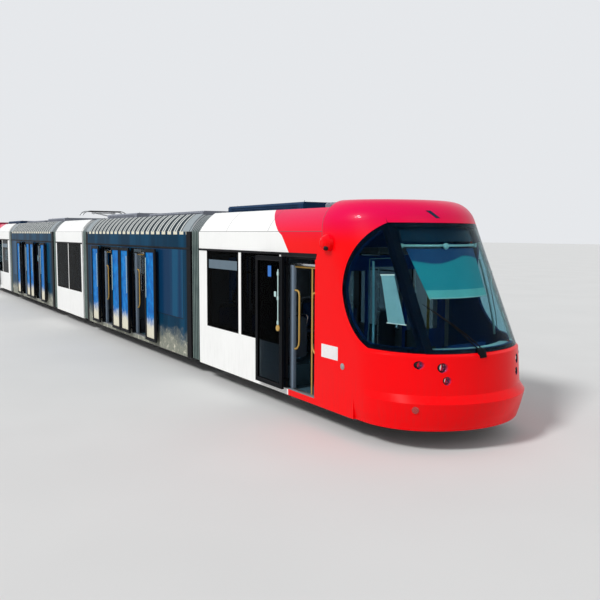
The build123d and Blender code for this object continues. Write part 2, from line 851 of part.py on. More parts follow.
def section_interior(start, low_seats, box_seats, poles, driver=False):
    """Seats and grab poles; a row of seats gives its back and the way that it faces."""
    with BuildPart() as inside:
        for x, facing in low_seats:
            for side_y in ((seat_aisle_y, seat_wall_y), (-seat_wall_y, -seat_aisle_y)):
                seat(start + x, facing, side_y, floor_z + seat_height, floor_z)
        for x, facing in box_seats:
            for side_y in ((seat_aisle_y, seat_wall_y), (-seat_wall_y, -seat_aisle_y)):
                seat(start + x, facing, side_y, aisle_z + seat_height, wheel_box_top_z)
        for x in poles:
            for side in (-1, 1):
                with Locations((start + x, side * pole_y, floor_z)):
                    Cylinder(pole_radius, ceiling_z - floor_z, align=(Align.CENTER, Align.CENTER, Align.MIN))
        if driver:
            driver_seat()
    return inside.part


def save(name, solid):
    solid.label = name
    export_step(solid, f"parts/{name}.step")


def mirrored(solid):
    """The same piece at the other end of the tram, with its open doors on the same side."""
    return solid.mirror(Plane.YZ)


# Cab section: hollow body with its raked nose
with BuildPart() as windscreen:
    add(glass_skin())
    pane_edge = windscreen_half_width - windscreen_gap / 2
    box((nose_x, cab_tip), (-pane_edge, pane_edge), (windscreen_base_z + windscreen_seat, windscreen_top_z),
        Mode.INTERSECT)

with BuildPart() as side_glass:
    add(glass_skin())
    side_glass_block(0, Mode.INTERSECT)
    inner_edge = windscreen_half_width + windscreen_gap / 2
    box((nose_x, cab_tip), (-inner_edge, inner_edge), (apron_base_z, cab_top_z), Mode.SUBTRACT)

lamp_places = [(side * y, z, radius) for y, z, radius in lamp_table for side in (-1, 1)]

with BuildPart() as lamps:
    for place in lamp_places:
        add(lamp_plug(*place, lamp_well_depth, lamp_well_depth + lamp_depth))

with BuildPart() as lamp_wells:
    for place in lamp_places:
        add(lamp_plug(*place, -1, lamp_well_depth + lamp_depth))

with BuildPart() as nose:
    add(cab_top(0, cab_top_z, brow_radius))
    add(cab_apron(0))
    split(bisect_by=Plane.YZ.offset(nose_x), keep=Keep.TOP)

with BuildPart() as cab_room:
    add(cab_top(wall, cab_ceiling_z, cab_room_chamfer, chamfer))
    extrude(cab_plan(apron_base_z - 1, wall), amount=windscreen_base_z + 1 - apron_base_z)
    split(bisect_by=Plane.YZ.offset(nose_x + wall - 1), keep=Keep.TOP)

with BuildPart() as cab_shell:
    body_block((cab_start, nose_x))
    end_frame((cab_start, cab_start + end_wall))
    room_block((cab_start + end_wall, nose_x + 1))
    box((cab_start - 1, cab_start + end_wall + 1), (-gangway_half_width, gangway_half_width),
        (skirt_z - 1, gangway_top_z), Mode.SUBTRACT)
    cut_windows(cab_start, cab_windows)
    cut_doorways(cab_start, cab_doors)
    portal_x = cab_start + cab_door_x[1]
    box((portal_x - portal_fit, portal_x), (-half_width - 1, half_width + 1), (skirt_z - 1, roof_z + 1),
        Mode.SUBTRACT)

with BuildPart() as cab_nose:
    add(nose.part)
    box((nose_x, bumper_back_x), (-half_width, half_width), (skirt_z, windscreen_base_z))
    for side in (-1, 1):
        camera_pod(side)
    room_block((nose_x - 1, nose_x + wall))
    add(cab_room.part, mode=Mode.SUBTRACT)
    box((nose_x - 1, bumper_back_x + 1), (wall - half_width, half_width - wall),
        (skirt_z - 1, apron_base_z + 5), Mode.SUBTRACT)
    add(windscreen.part, mode=Mode.SUBTRACT)
    add(side_glass.part, mode=Mode.SUBTRACT)
    add(lamp_wells.part, mode=Mode.SUBTRACT)
    box((nose_x + wall, cab_tip), (pillar - windscreen_half_width, windscreen_half_width - pillar),
        (windscreen_base_z + pillar, windscreen_top_z - pillar), Mode.SUBTRACT)
    side_glass_block(pillar, Mode.SUBTRACT)

with BuildPart() as bumper:
    loft([nose_outline(z, cab_tip - back, bumper_back_x, half)
          for z, back, half in bumper_sections], ruled=True)
    ends = (bumper_sections[0][0], bumper_sections[-1][0])
    loft([nose_outline(z + (z == ends[1]) - (z == ends[0]), cab_tip - back, bumper_back_x - 1, half,
                       bumper_wall) for z, back, half in bumper_sections], ruled=True, mode=Mode.SUBTRACT)

with BuildPart() as cab_floor:
    floor_plate((cab_start + end_wall, cab_start + cab_bogie_x - bogie_half))
    floor_plate((cab_start + cab_bogie_x + bogie_half, bumper_back_x))
    bumper_z, bumper_back, bumper_half = bumper_sections[0]
    extrude(nose_outline(floor_z - floor_thickness, cab_tip - bumper_back, bumper_back_x - 1, bumper_half,
                         bumper_wall + 6), amount=floor_thickness)
    side_sills((cab_start + cab_bogie_x + bogie_half, bumper_back_x))
    knuckle_fork(cab_pivot, -1)

with BuildPart() as cab_wheel_boxes:
    bogie_floor((cab_start + cab_bogie_x - bogie_half, cab_start + cab_bogie_x + bogie_half))

with BuildPart() as driver_place:
    bulkhead_x = cab_tip - bulkhead_back
    box((bulkhead_x, bulkhead_x + bulkhead_thickness), (wall - half_width, half_width - wall),
        (floor_z, ceiling_z - ceiling_cove / 2))
    for y, z in bulkhead_panes:
        box((bulkhead_x - 1, bulkhead_x + bulkhead_thickness + 1), y, z, Mode.SUBTRACT)
    for backs, half in ((desk_backs, desk_half_width), (cowl_backs, cowl_half_width)):
        with BuildSketch(Plane.XZ) as side_view:
            with BuildLine():
                Polyline(*[(cab_tip - back, z) for back, z in backs], close=True)
            make_face()
        extrude(side_view.sketch, amount=half, both=True)
    both_sides((cab_tip - console_backs[0], cab_tip - console_backs[1]), console_y, (floor_z, console_z))

with BuildPart() as suspended_floor:
    floor_plate((suspended_start + end_wall, suspended_end - end_wall))
    side_sills((suspended_start + end_wall, suspended_end - end_wall))
    for pivot, way in ((centre_pivot, 1), (cab_pivot, -1)):
        floor_recess(pivot)
        knuckle_tongue(pivot, way)

with BuildPart() as centre_floor:
    floor_plate((-centre_end + end_wall, centre_end - end_wall))
    box((-bogie_half, bogie_half), (wall - half_width, half_width - wall),
        (floor_z - floor_thickness, floor_z), Mode.SUBTRACT)
    bogie_floor((-bogie_half, bogie_half))
    knuckle_fork(centre_pivot, 1)
    knuckle_fork(-centre_pivot, -1)


def rod(start, end, radius, mode=Mode.ADD):
    """Round bar between two points."""
    start, end = Vector(*start), Vector(*end)
    with Locations(Plane(origin=start, z_dir=end - start)):
        Cylinder(radius, (end - start).length, align=(Align.CENTER, Align.CENTER, Align.MIN), mode=mode)


rise = arm_length * sin(radians(arm_rest_angle))
run = arm_length * cos(radians(arm_rest_angle))
knee = (panto_base_x + run, panto_pivot_z + rise)
head = (panto_base_x, panto_pivot_z + 2 * rise)


def cross_bar(place, y, radius, mode=Mode.ADD):
    rod((place[0], y[0], place[1]), (place[0], y[1], place[1]), radius, mode)


def insulator(x, y, z):
    """Ribbed insulator that stands on the roof, up to z."""
    with Locations((x, y, roof_z)):
        Cylinder(insulator_radius, z - roof_z, align=(Align.CENTER, Align.CENTER, Align.MIN))
    for middle in places(roof_z, z, shed_pitch):
        with Locations((x, y, middle)):
            Cylinder(shed_radius, shed_thickness)


def horn(x, y, z, way):
    """Round horn at one end of a strip; it bends outward and down."""
    with BuildSketch(Plane((x, y, z), x_dir=(1, 0, 0), z_dir=(0, way, 0))) as bar:
        Circle(horn_radius)
    revolve(bar.sketch, axis=Axis((x, y, z - horn_bend), (-way, 0, 0)), revolution_arc=horn_turn)


with BuildPart() as panto_base:
    rail_z = (panto_pivot_z - base_rail_drop[0], panto_pivot_z - base_rail_drop[1])
    half_rail = base_rail_width / 2
    both_sides((-base_half_length, base_half_length), (base_half_width - base_rail_width, base_half_width),
               rail_z)
    for x in (half_rail - base_half_length, panto_base_x, base_half_length - half_rail):
        box((x - half_rail, x + half_rail), (-base_half_width, base_half_width), rail_z)
    for x in (base_rail_width - base_half_length, base_half_length - base_rail_width):
        for y in (half_rail - base_half_width, base_half_width - half_rail):
            insulator(x, y, rail_z[0])
    both_sides((panto_base_x - bracket_half, panto_base_x + bracket_half), bracket_y,
               (rail_z[1], panto_pivot_z + bracket_rise))
    cross_bar((panto_base_x, panto_pivot_z), (-panto_pin_reach, panto_pin_reach), panto_pin_radius)

with BuildPart() as panto_lower_arm:
    rod((panto_base_x, 0, panto_pivot_z), (knee[0], 0, knee[1]), lower_arm_radius)
    cross_bar((panto_base_x, panto_pivot_z), (-lower_boss[0], lower_boss[0]), lower_boss[1])
    cross_bar(knee, (-knee_boss[0], knee_boss[0]), knee_boss[1])
    cross_bar((panto_base_x, panto_pivot_z), (-panto_pin_reach, panto_pin_reach),
              panto_pin_radius + pin_clearance, Mode.SUBTRACT)
    cross_bar(knee, (-panto_pin_reach, panto_pin_reach), panto_pin_radius)

with BuildPart() as panto_upper_arm:
    for side in (-1, 1):
        boss_y = side * upper_boss_y
        rod((knee[0], boss_y, knee[1]), (head[0], side * upper_arm_spread, head[1]), upper_arm_radius)
        cross_bar(knee, (boss_y - upper_boss_half, boss_y + upper_boss_half), upper_boss_radius)
    bar_reach = upper_arm_spread + head_bar_overhang
    cross_bar(head, (-bar_reach, bar_reach), head_bar_radius)
    cross_bar(knee, (-panto_pin_reach, panto_pin_reach), panto_pin_radius + pin_clearance, Mode.SUBTRACT)

with BuildPart() as panto_head:
    strip_z = (head[1] + cradle_rise, head[1] + cradle_rise + strip_height)
    for side in (-1, 1):
        near = side * (bar_reach - cradle_width)
        cradle_y = sorted((near, near + side * cradle_width))
        box((head[0] - strip_spacing / 2, head[0] + strip_spacing / 2), cradle_y,
            (head[1] - cradle_rise, head[1] + cradle_rise))
        box((head[0] - cradle_half, head[0] + cradle_half), cradle_y,
            (head[1] - cradle_drop, head[1] + cradle_drop))
        strip_x = head[0] + side * strip_spacing / 2
        box((strip_x - strip_half_width, strip_x + strip_half_width),
            (-strip_length / 2, strip_length / 2), strip_z)
        for way in (-1, 1):
            horn(strip_x, way * (strip_length / 2 - horn_overlap), (strip_z[0] + strip_z[1]) / 2, way)
    cross_bar(head, (-bar_reach - 1, bar_reach + 1), head_bar_radius + pin_clearance, Mode.SUBTRACT)

front = {
    "cab_a_shell": cab_shell.part,
    "cab_a_nose": cab_nose.part,
    "cab_a_windscreen": windscreen.part,
    "cab_a_glass": Part() + section_glass(cab_start, cab_windows, cab_doors) + side_glass.part,
    "cab_a_bumper": bumper.part,
    "cab_a_lamps": lamps.part,
    "cab_a_doors": section_doors(cab_start, cab_doors),
    "cab_a_floor": cab_floor.part,
    "cab_a_wheel_boxes": cab_wheel_boxes.part,
    "cab_a_driver_place": driver_place.part,
    "cab_a_seats": section_interior(cab_start, [], cab_seats, cab_poles, driver=True),
    "cab_a_roof": roof_gear(cab_start, (end_wall, nose_seam_x), cab_fairing_joints, cab_air_units,
                            cab_converters),
    "cab_a_bogie": bogie_frame(cab_start + cab_bogie_x),
    "cab_a_wheels_1": wheelset(cab_start + cab_bogie_x - wheelbase / 2),
    "cab_a_wheels_2": wheelset(cab_start + cab_bogie_x + wheelbase / 2),
    "cab_a_bellows": bellows((suspended_end + bellows_fit, cab_start - bellows_fit)),
    "hung_a_shell": section_shell(suspended_start, suspended_length, (1, 1), suspended_windows,
                                  suspended_doors),
    "hung_a_glass": section_glass(suspended_start, suspended_windows, suspended_doors),
    "hung_a_doors": section_doors(suspended_start, suspended_doors),
    "hung_a_floor": suspended_floor.part,
    "hung_a_seats": section_interior(suspended_start, suspended_seats, [], suspended_poles),
    "hung_a_roof": roof_gear(suspended_start, (end_wall, suspended_length - end_wall),
                             suspended_fairing_joints, suspended_air_units, suspended_converters),
    "hung_a_bellows": bellows((centre_end + bellows_fit, suspended_start - bellows_fit)),
    "centre_wheels_a": wheelset(wheelbase / 2),
}
middle = {
    "centre_shell": section_shell(-centre_end, centre_length, (1, 1), centre_windows, []),
    "centre_glass": section_glass(-centre_end, centre_windows, []),
    "centre_floor": centre_floor.part,
    "centre_seats": section_interior(-centre_end, [], centre_seats, centre_poles),
    "centre_roof": roof_gear(-centre_end, (end_wall, centre_length - end_wall), [centre_length / 2], [], []),
    "centre_bogie": bogie_frame(0),
    "panto_base": panto_base.part,
    "panto_lower_arm": panto_lower_arm.part,
    "panto_upper_arm": panto_upper_arm.part,
    "panto_head": panto_head.part,
}

rear = {name.replace("_a", "_b"): mirrored(solid) for name, solid in front.items()}
for name, solid in {**front, **rear, **middle}.items():
    save(name, solid)
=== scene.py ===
"""Looks for the five-section tram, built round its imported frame.

Metres, in the frame's axes: +X towards the front cab, +Y to the tram's left side, +Z up.
What belongs to the front half is made once, and its mirror image stands at the rear half.
"""
import math

import bmesh
import bpy
from mathutils import Matrix, Vector
from mathutils.bvhtree import BVHTree


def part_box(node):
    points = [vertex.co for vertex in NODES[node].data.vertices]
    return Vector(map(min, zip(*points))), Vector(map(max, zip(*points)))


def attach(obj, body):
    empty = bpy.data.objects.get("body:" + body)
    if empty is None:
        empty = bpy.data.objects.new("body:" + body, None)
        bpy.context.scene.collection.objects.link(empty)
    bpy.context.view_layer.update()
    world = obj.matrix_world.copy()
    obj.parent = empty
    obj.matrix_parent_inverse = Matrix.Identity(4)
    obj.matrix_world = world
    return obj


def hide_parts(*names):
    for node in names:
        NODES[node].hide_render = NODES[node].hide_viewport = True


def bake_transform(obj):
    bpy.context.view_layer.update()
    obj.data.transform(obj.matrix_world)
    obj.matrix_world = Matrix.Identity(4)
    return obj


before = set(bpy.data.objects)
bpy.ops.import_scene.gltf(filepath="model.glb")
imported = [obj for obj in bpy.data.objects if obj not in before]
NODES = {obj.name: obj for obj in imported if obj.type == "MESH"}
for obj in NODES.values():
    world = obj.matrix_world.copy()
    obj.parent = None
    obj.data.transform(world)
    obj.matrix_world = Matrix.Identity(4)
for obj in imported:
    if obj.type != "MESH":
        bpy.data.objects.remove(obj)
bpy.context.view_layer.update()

# Sizes read from the frame
CAB_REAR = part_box("cab_a_shell")[0].x
NOSE_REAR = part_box("cab_a_shell")[1].x
CAB_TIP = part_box("cab_a_bumper")[1].x
HUNG_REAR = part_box("hung_a_shell")[0].x
HUNG_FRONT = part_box("hung_a_shell")[1].x
CENTRE_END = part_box("centre_shell")[1].x
HALF_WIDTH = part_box("hung_a_shell")[1].y
ENDS = (("a", 1), ("b", -1))

# Sizes that the photograph gives
SEAM_Z = 2.895
WINDOW_TOP_Z = 2.530
WINDOW_SILL_Z = 1.080
DOOR_SILL_Z = 0.395
DOOR_TOP_Z = 2.500
GUTTER_Z = (2.528, 2.566)
FLOOR_Z = 0.375
CEILING_Z = 2.660
WALL_DEPTH = 0.062
CAB_DOOR_X = (CAB_REAR + 3.230, CAB_REAR + 4.090)
HUNG_DOOR_X = ((HUNG_REAR + 1.440, HUNG_REAR + 2.740), (HUNG_REAR + 3.900, HUNG_REAR + 5.200))


# Shader nodes


def colour(red, green, blue):
    return (red, green, blue, 1.0)


class Tree:
    """Short ways to add nodes to a material or a node group."""

    def __init__(self, tree):
        self.nodes, self.links = tree.nodes, tree.links

    def put(self, socket, value):
        if isinstance(value, bpy.types.NodeSocket):
            self.links.new(value, socket)
        elif value is not None:
            socket.default_value = value

    def node(self, kind, *inputs, **settings):
        made = self.nodes.new(kind)
        for key, value in settings.items():
            setattr(made, key, value)
        for socket, value in zip(made.inputs, inputs):
            self.put(socket, value)
        return made

    def math(self, operation, a, b=None, c=None, clamp=False):
        return self.node("ShaderNodeMath", a, b, c, operation=operation, use_clamp=clamp).outputs[0]

    def step(self, value, low, high, clamp=True):
        """0 at low and 1 at high, smooth between."""
        made = self.node("ShaderNodeMapRange", value, low, high, 0.0, 1.0, interpolation_type="SMOOTHSTEP")
        made.clamp = clamp
        return made.outputs[0]

    def mix(self, factor, a, b, blend="MIX"):
        made = self.node("ShaderNodeMix", data_type="RGBA", blend_type=blend)
        for socket, value in ((made.inputs[0], factor), (made.inputs[6], a), (made.inputs[7], b)):
            self.put(socket, value)
        return made.outputs[2]

    def noise(self, vector, scale, detail=3.0, roughness=0.5):
        made = self.node("ShaderNodeTexNoise")
        for name, value in (("Vector", vector), ("Scale", scale), ("Detail", detail),
                            ("Roughness", roughness)):
            self.put(made.inputs[name], value)
        return made.outputs["Fac"]

    def stretched(self, vector, x, y, z):
        made = self.node("ShaderNodeMapping")
        self.put(made.inputs["Vector"], vector)
        made.inputs["Scale"].default_value = (x, y, z)
        return made.outputs[0]

    def xyz(self, vector):
        return self.node("ShaderNodeSeparateXYZ", vector).outputs

    def group(self, tree, **inputs):
        made = self.node("ShaderNodeGroup", node_tree=tree)
        for name, value in inputs.items():
            self.put(made.inputs[name.replace("_", " ")], value)
        return made.outputs


def effect(name, inputs, outputs):
    """Empty node group with its sockets; gives the group, its Tree, what comes in and what goes out."""
    group = bpy.data.node_groups.new(name, "ShaderNodeTree")
    kinds = {"vector": "NodeSocketVector", "colour": "NodeSocketColor", "value": "NodeSocketFloat"}
    for label, kind in inputs:
        group.interface.new_socket(label, in_out="INPUT", socket_type=kinds[kind])
    for label, kind in outputs:
        group.interface.new_socket(label, in_out="OUTPUT", socket_type=kinds[kind])
    tree = Tree(group)
    return group, tree, tree.node("NodeGroupInput").outputs, tree.node("NodeGroupOutput").inputs


def road_dust_effect():
    """Dust that thickens towards the track, runs down in streaks and lies in soft patches."""
    group, t, given, made = effect(
        "road_dust",
        [("Vector", "vector"), ("Colour", "colour"), ("Dust", "colour"), ("Amount", "value"),
         ("Low Height", "value"), ("High Height", "value")],
        [("Colour", "colour"), ("Mask", "value")])
    height = t.xyz(given["Vector"])["Z"]
    low = t.math("SUBTRACT", 1.0, t.step(height, given["Low Height"], given["High Height"]))
    runs = t.noise(t.stretched(given["Vector"], 9.0, 9.0, 0.7), 3.0, 4.0, 0.6)
    patches = t.noise(given["Vector"], 1.7, 5.0, 0.62)
    mask = t.math("MULTIPLY", t.step(runs, 0.42, 0.75), t.math("ADD", t.math("MULTIPLY", low, 0.9), 0.16))
    mask = t.math("ADD", mask, t.math("MULTIPLY", t.step(patches, 0.45, 0.8), 0.22))
    mask = t.math("MULTIPLY", mask, given["Amount"], clamp=True)
    t.put(made["Colour"], t.mix(mask, given["Colour"], given["Dust"]))
    t.put(made["Mask"], mask)
    return group


def fine_grain_effect():
    """Small irregular grain, as on moulded plastic, rubber or powder coat."""
    group, t, given, made = effect(
        "fine_grain", [("Vector", "vector"), ("Scale", "value")], [("Value", "value"), ("Height", "value")])
    fine = t.noise(given["Vector"], given["Scale"], 2.0, 0.6)
    cells = t.node("ShaderNodeTexVoronoi", given["Vector"], feature="F1")
    t.put(cells.inputs["Scale"], given["Scale"])
    t.put(made["Value"], fine)
    t.put(made["Height"], t.math("ADD", fine, t.math("MULTIPLY", cells.outputs["Distance"], 0.6)))
    return group


def drawn_lines_effect():
    """Fine lines along one direction, as on turned or brushed metal; the vector is stretched first."""
    group, t, given, made = effect(
        "drawn_lines", [("Vector", "vector"), ("Scale", "value")], [("Value", "value")])
    coarse = t.noise(given["Vector"], given["Scale"], 2.0, 0.5)
    fine = t.noise(given["Vector"], t.math("MULTIPLY", given["Scale"], 4.1), 3.0, 0.6)
    t.put(made["Value"], t.math("ADD", t.math("MULTIPLY", coarse, 0.55), t.math("MULTIPLY", fine, 0.45)))
    return group


ROAD_DUST = road_dust_effect()
FINE_GRAIN = fine_grain_effect()
DRAWN_LINES = drawn_lines_effect()


class Finish(Tree):
    """Material with one Principled shader; place is the position in the frame's axes at rest."""

    def __init__(self, name, **constants):
        self.material = bpy.data.materials.new(name)
        self.material.use_nodes = True
        super().__init__(self.material.node_tree)
        self.shader = self.nodes["Principled BSDF"]
        self.place = self.node("ShaderNodeTexCoord").outputs["Object"]
        for label, value in constants.items():
            self.shader.inputs[label.replace("_", " ")].default_value = value

    def feed(self, **sockets):
        for label, value in sockets.items():
            self.put(self.shader.inputs[label.replace("_", " ")], value)
        return self.material

    def bump(self, height, distance, strength=1.0):
        made = self.node("ShaderNodeBump")
        self.put(made.inputs["Height"], height)
        made.inputs["Distance"].default_value = distance
        made.inputs["Strength"].default_value = strength
        self.put(self.shader.inputs["Normal"], made.outputs[0])

    def along(self):
        """Distance from the tram's middle, so that both halves are alike."""
        return self.math("ABSOLUTE", self.xyz(self.place)["X"])


# Colours, as linear values
RED = colour(0.90, 0.0005, 0.003)
# Crimson that stands for a painted sky reflection on the red over the roof
SKY_REFLECTION_CRIMSON = colour(0.76, 0.001, 0.075)
WHITE = colour(0.90, 0.90, 0.88)
DEEP_BLUE = colour(0.001, 0.028, 0.062)
SLATE_BLUE = colour(0.0015, 0.048, 0.105)
MID_BLUE = colour(0.003, 0.115, 0.42)
SKY_BLUE = colour(0.005, 0.22, 0.60)
CREAM = colour(0.74, 0.70, 0.56)
RIB_GREY = colour(0.60, 0.62, 0.60)
RIB_GAP = colour(0.012, 0.024, 0.034)
BRAKE_DUST = colour(0.11, 0.085, 0.07)
BLACK = colour(0.010, 0.010, 0.012)


def gloss_paint(name, choose_colour, dirt=0.08, coat=0.22, gloss=0.06):
    """Coach paint under clear lacquer, with faint orange peel and dust low down."""
    f = Finish(name, Specular_IOR_Level=gloss, Coat_Weight=coat, Coat_Roughness=0.04, Coat_IOR=1.28)
    base = choose_colour(f)
    tone = f.noise(f.place, 0.9, 4.0, 0.6)
    base = f.mix(f.math("MULTIPLY", f.step(tone, 0.35, 0.75), 0.04), base, colour(0.02, 0.02, 0.02))
    dusty = f.group(ROAD_DUST, Vector=f.place, Colour=base, Dust=BRAKE_DUST, Amount=dirt, Low_Height=0.3,
                    High_Height=1.25)
    f.bump(f.noise(f.place, 85.0, 1.0), 0.0004, 0.35)
    rough = f.math("ADD", 0.32, f.math("MULTIPLY", dusty["Mask"], 0.5))
    return f.feed(Base_Color=dusty["Colour"], Roughness=rough)


# The white of the cab section ends at a line that runs back as it rises, more steeply above the bend
LIVERY_EDGE_X = CAB_REAR + 3.347
LIVERY_EDGE_Z = 2.570
LIVERY_BEND_Z = 2.830
LIVERY_LEAN = 0.80
LIVERY_BEND = 0.88


FAIRING_JOINTS = {"cab": (CAB_REAR + 1.190, CAB_REAR + 2.690),
                  "hung": tuple(HUNG_REAR + x for x in (1.520, 2.970, 4.430, 5.890)), "centre": (0.0,)}
SEAM_WIDTH = 0.0045
DOOR_BAND = 0.110
JOINT_GREY = colour(0.10, 0.10, 0.105)


def near(f, value, target, half):
    """1 where the value lies within half of the target."""
    off = f.math("ABSOLUTE", f.math("SUBTRACT", value, target))
    return f.math("SUBTRACT", 1.0, f.step(off, half * 0.8, half * 1.2))


def between(f, value, low, high, blur=0.001):
    """1 between the two values, with a short blur at each."""
    under = f.math("SUBTRACT", 1.0, f.step(value, high - blur, high + blur))
    return f.math("MULTIPLY", f.step(value, low - blur, low + blur), under)


def with_seams(f, base, joints):
    """Adds the thin dark lines between the body's panels: under the roof fairings and between them."""
    height = f.xyz(f.place)["Z"]
    lines = f.math("MULTIPLY", near(f, height, SEAM_Z, SEAM_WIDTH), 0.85)
    above = f.step(height, SEAM_Z, SEAM_Z + 0.002)
    for x in joints:
        joint = f.math("MULTIPLY", near(f, f.along(), x, 0.006), above)
        lines = f.math("MAXIMUM", lines, f.math("MULTIPLY", joint, 0.55))
    return f.mix(lines, base, JOINT_GREY)


def front_livery(f):
    height = f.xyz(f.place)["Z"]
    rise = f.math("MAXIMUM", f.math("SUBTRACT", height, LIVERY_EDGE_Z), 0.0)
    more = f.math("MAXIMUM", f.math("SUBTRACT", height, LIVERY_BEND_Z), 0.0)
    back = f.math("ADD", f.math("MULTIPLY", rise, LIVERY_LEAN), f.math("MULTIPLY", more, LIVERY_BEND))
    side = f.math("ADD", f.math("SUBTRACT", f.along(), LIVERY_EDGE_X), back)
    base = with_seams(f, f.mix(f.step(side, -0.002, 0.002), WHITE, red_livery(f)), FAIRING_JOINTS["cab"])
    post = f.math("MULTIPLY", between(f, f.along(), CAB_DOOR_X[0] - DOOR_BAND, CAB_DOOR_X[0] + 0.020),
                  between(f, height, DOOR_SILL_Z, GUTTER_Z[1]))
    head = f.math("MULTIPLY", between(f, f.along(), CAB_DOOR_X[0] - DOOR_BAND, CAB_DOOR_X[1] + 0.030),
                  between(f, height, DOOR_TOP_Z - 0.02, GUTTER_Z[1]))
    return f.mix(f.math("MAXIMUM", post, head), base, BLACK)


RIB_PITCH = 0.330
HOOP_WIDTH = 0.42
END_STRIP = 0.20


def ribbed(f, share, middle):
    """1 on upright ribs that repeat along the section; share and middle are parts of the pitch."""
    turn = f.math("FRACT", f.math("DIVIDE", f.along(), RIB_PITCH))
    off = f.math("ABSOLUTE", f.math("SUBTRACT", turn, middle))
    return f.math("SUBTRACT", 1.0, f.step(off, share / 2 - 0.03, share / 2 + 0.03))


def wrapped_livery(f):
    """Plain wrap: dark blue walls in two tones, pale paired ribs on the fairing and a mottled cream foot."""
    height = f.xyz(f.place)["Z"]
    bands = f.noise(f.stretched(f.place, 1.9, 0.0, 0.05), 1.0, 2.0, 0.4)
    wall = f.mix(f.step(bands, 0.42, 0.60), DEEP_BLUE, SLATE_BLUE)
    blotch = f.noise(f.stretched(f.place, 1.0, 1.0, 1.3), 3.2, 6.0, 0.72)
    low = f.math("SUBTRACT", f.math("MULTIPLY", blotch, 0.75), f.math("SUBTRACT", height, 0.34))
    grain = f.noise(f.place, 15.0, 6.0, 0.75)
    foot = f.mix(f.step(grain, 0.30, 0.75), colour(0.38, 0.37, 0.29), colour(0.11, 0.14, 0.13))
    foot = f.mix(f.step(f.noise(f.place, 6.0, 4.0, 0.7), 0.50, 0.72), foot, CREAM)
    wall = f.mix(f.math("MULTIPLY", f.step(low, -0.16, 0.24), f.step(grain, 0.15, 0.55)), wall, foot)
    above = f.step(height, SEAM_Z - 0.002, SEAM_Z + 0.002)
    wall = with_seams(f, f.mix(above, wall, RIB_GAP), FAIRING_JOINTS["hung"])
    pair = f.math("MAXIMUM", ribbed(f, 0.19, 0.31), ribbed(f, 0.19, 0.65))
    wall = f.mix(f.math("MULTIPLY", pair, above), wall, RIB_GREY)
    teeth = f.math("MULTIPLY", f.step(height, 2.832, 2.836), f.math("SUBTRACT", 1.0, above))
    wall = f.mix(f.math("MULTIPLY", teeth, ribbed(f, 0.62, 0.48)), wall, CREAM)
    past_rear = f.math("SUBTRACT", f.along(), HUNG_REAR)
    to_front = f.math("SUBTRACT", HUNG_FRONT, f.along())
    edge = f.math("MINIMUM", past_rear, to_front)
    hoop_there = f.math("MULTIPLY", above,
                        f.math("SUBTRACT", 1.0, f.step(edge, HOOP_WIDTH, HOOP_WIDTH + 0.006)))
    wall = f.mix(hoop_there, wall, colour(0.30, 0.34, 0.36))
    strip = f.math("MULTIPLY", f.math("SUBTRACT", 1.0, above),
                   f.math("SUBTRACT", 1.0, f.step(edge, END_STRIP, END_STRIP + 0.006)))
    return f.mix(strip, wall, BLACK)


def leaf_livery(f):
    """Soft mottled blue that pales towards the foot."""
    height = f.xyz(f.place)["Z"]
    cloud = f.noise(f.stretched(f.place, 1.0, 1.0, 0.7), 7.0, 5.0, 0.65)
    base = f.mix(f.step(cloud, 0.36, 0.66), MID_BLUE, SKY_BLUE)
    low = f.math("SUBTRACT", f.math("MULTIPLY", cloud, 0.5), f.math("SUBTRACT", height, 0.62))
    return f.mix(f.step(low, -0.10, 0.22), base, CREAM)


def pane_livery(f):
    """Film on the wrapped sections' panes: the wall's blue, a little lighter, in upright bands."""
    bands = f.noise(f.stretched(f.place, 2.6, 0.0, 0.10), 1.0, 2.0, 0.4)
    return f.mix(f.step(bands, 0.40, 0.62), colour(0.002, 0.030, 0.085), colour(0.004, 0.070, 0.150))


def white_livery(f):
    return with_seams(f, WHITE, FAIRING_JOINTS["centre"])


def red_livery(f):
    """Signal red, with a painted sky reflection that turns it crimson over the roof."""
    return f.mix(f.step(f.xyz(f.place)["Z"], 2.70, 3.20), RED, SKY_REFLECTION_CRIMSON)


def nose_livery(f):
    """Red, with the panel line that crosses the roof behind the brow."""
    place = f.xyz(f.place)
    line = f.math("MULTIPLY", near(f, f.along(), NOSE_REAR + 0.005, 0.005), f.step(place["Z"], 2.78, 2.80))
    return f.mix(f.math("MULTIPLY", line, 0.8), red_livery(f), JOINT_GREY)


def satin(name, tint, rough=0.45, grain=160.0, depth=0.0003, dirt=0.3, metal=0.0, low=0.2, high=1.2,
          gloss=0.25):
    """Powder coat or moulded plastic: slight grain, worn sheen and dust."""
    f = Finish(name, Metallic=metal, Specular_IOR_Level=gloss)
    grained = f.group(FINE_GRAIN, Vector=f.place, Scale=grain)
    soft = f.noise(f.place, 2.5, 4.0, 0.6)
    base = f.mix(f.math("MULTIPLY", f.step(soft, 0.3, 0.8), 0.22), tint,
                 colour(*(c * 0.55 for c in tint[:3])))
    dusty = f.group(ROAD_DUST, Vector=f.place, Colour=base, Dust=BRAKE_DUST, Amount=dirt, Low_Height=low,
                    High_Height=high)
    f.bump(grained["Height"], depth, 0.5)
    change = f.math("MULTIPLY", f.math("SUBTRACT", soft, 0.5), 0.25)
    return f.feed(Base_Color=dusty["Colour"], Roughness=f.math("ADD", rough, change))


def tinted_glass(name, tint, smear=0.03, bend=1.14):
    f = Finish(name, Transmission_Weight=1.0, IOR=bend)
    haze = f.noise(f.stretched(f.place, 1.0, 1.0, 0.35), 6.0, 4.0, 0.6)
    base = f.mix(f.math("MULTIPLY", f.step(haze, 0.35, 0.8), 0.25), tint,
                 colour(*(c * 0.7 for c in tint[:3])))
    return f.feed(Base_Color=base, Roughness=f.math("MULTIPLY", f.step(haze, 0.45, 0.9), smear))


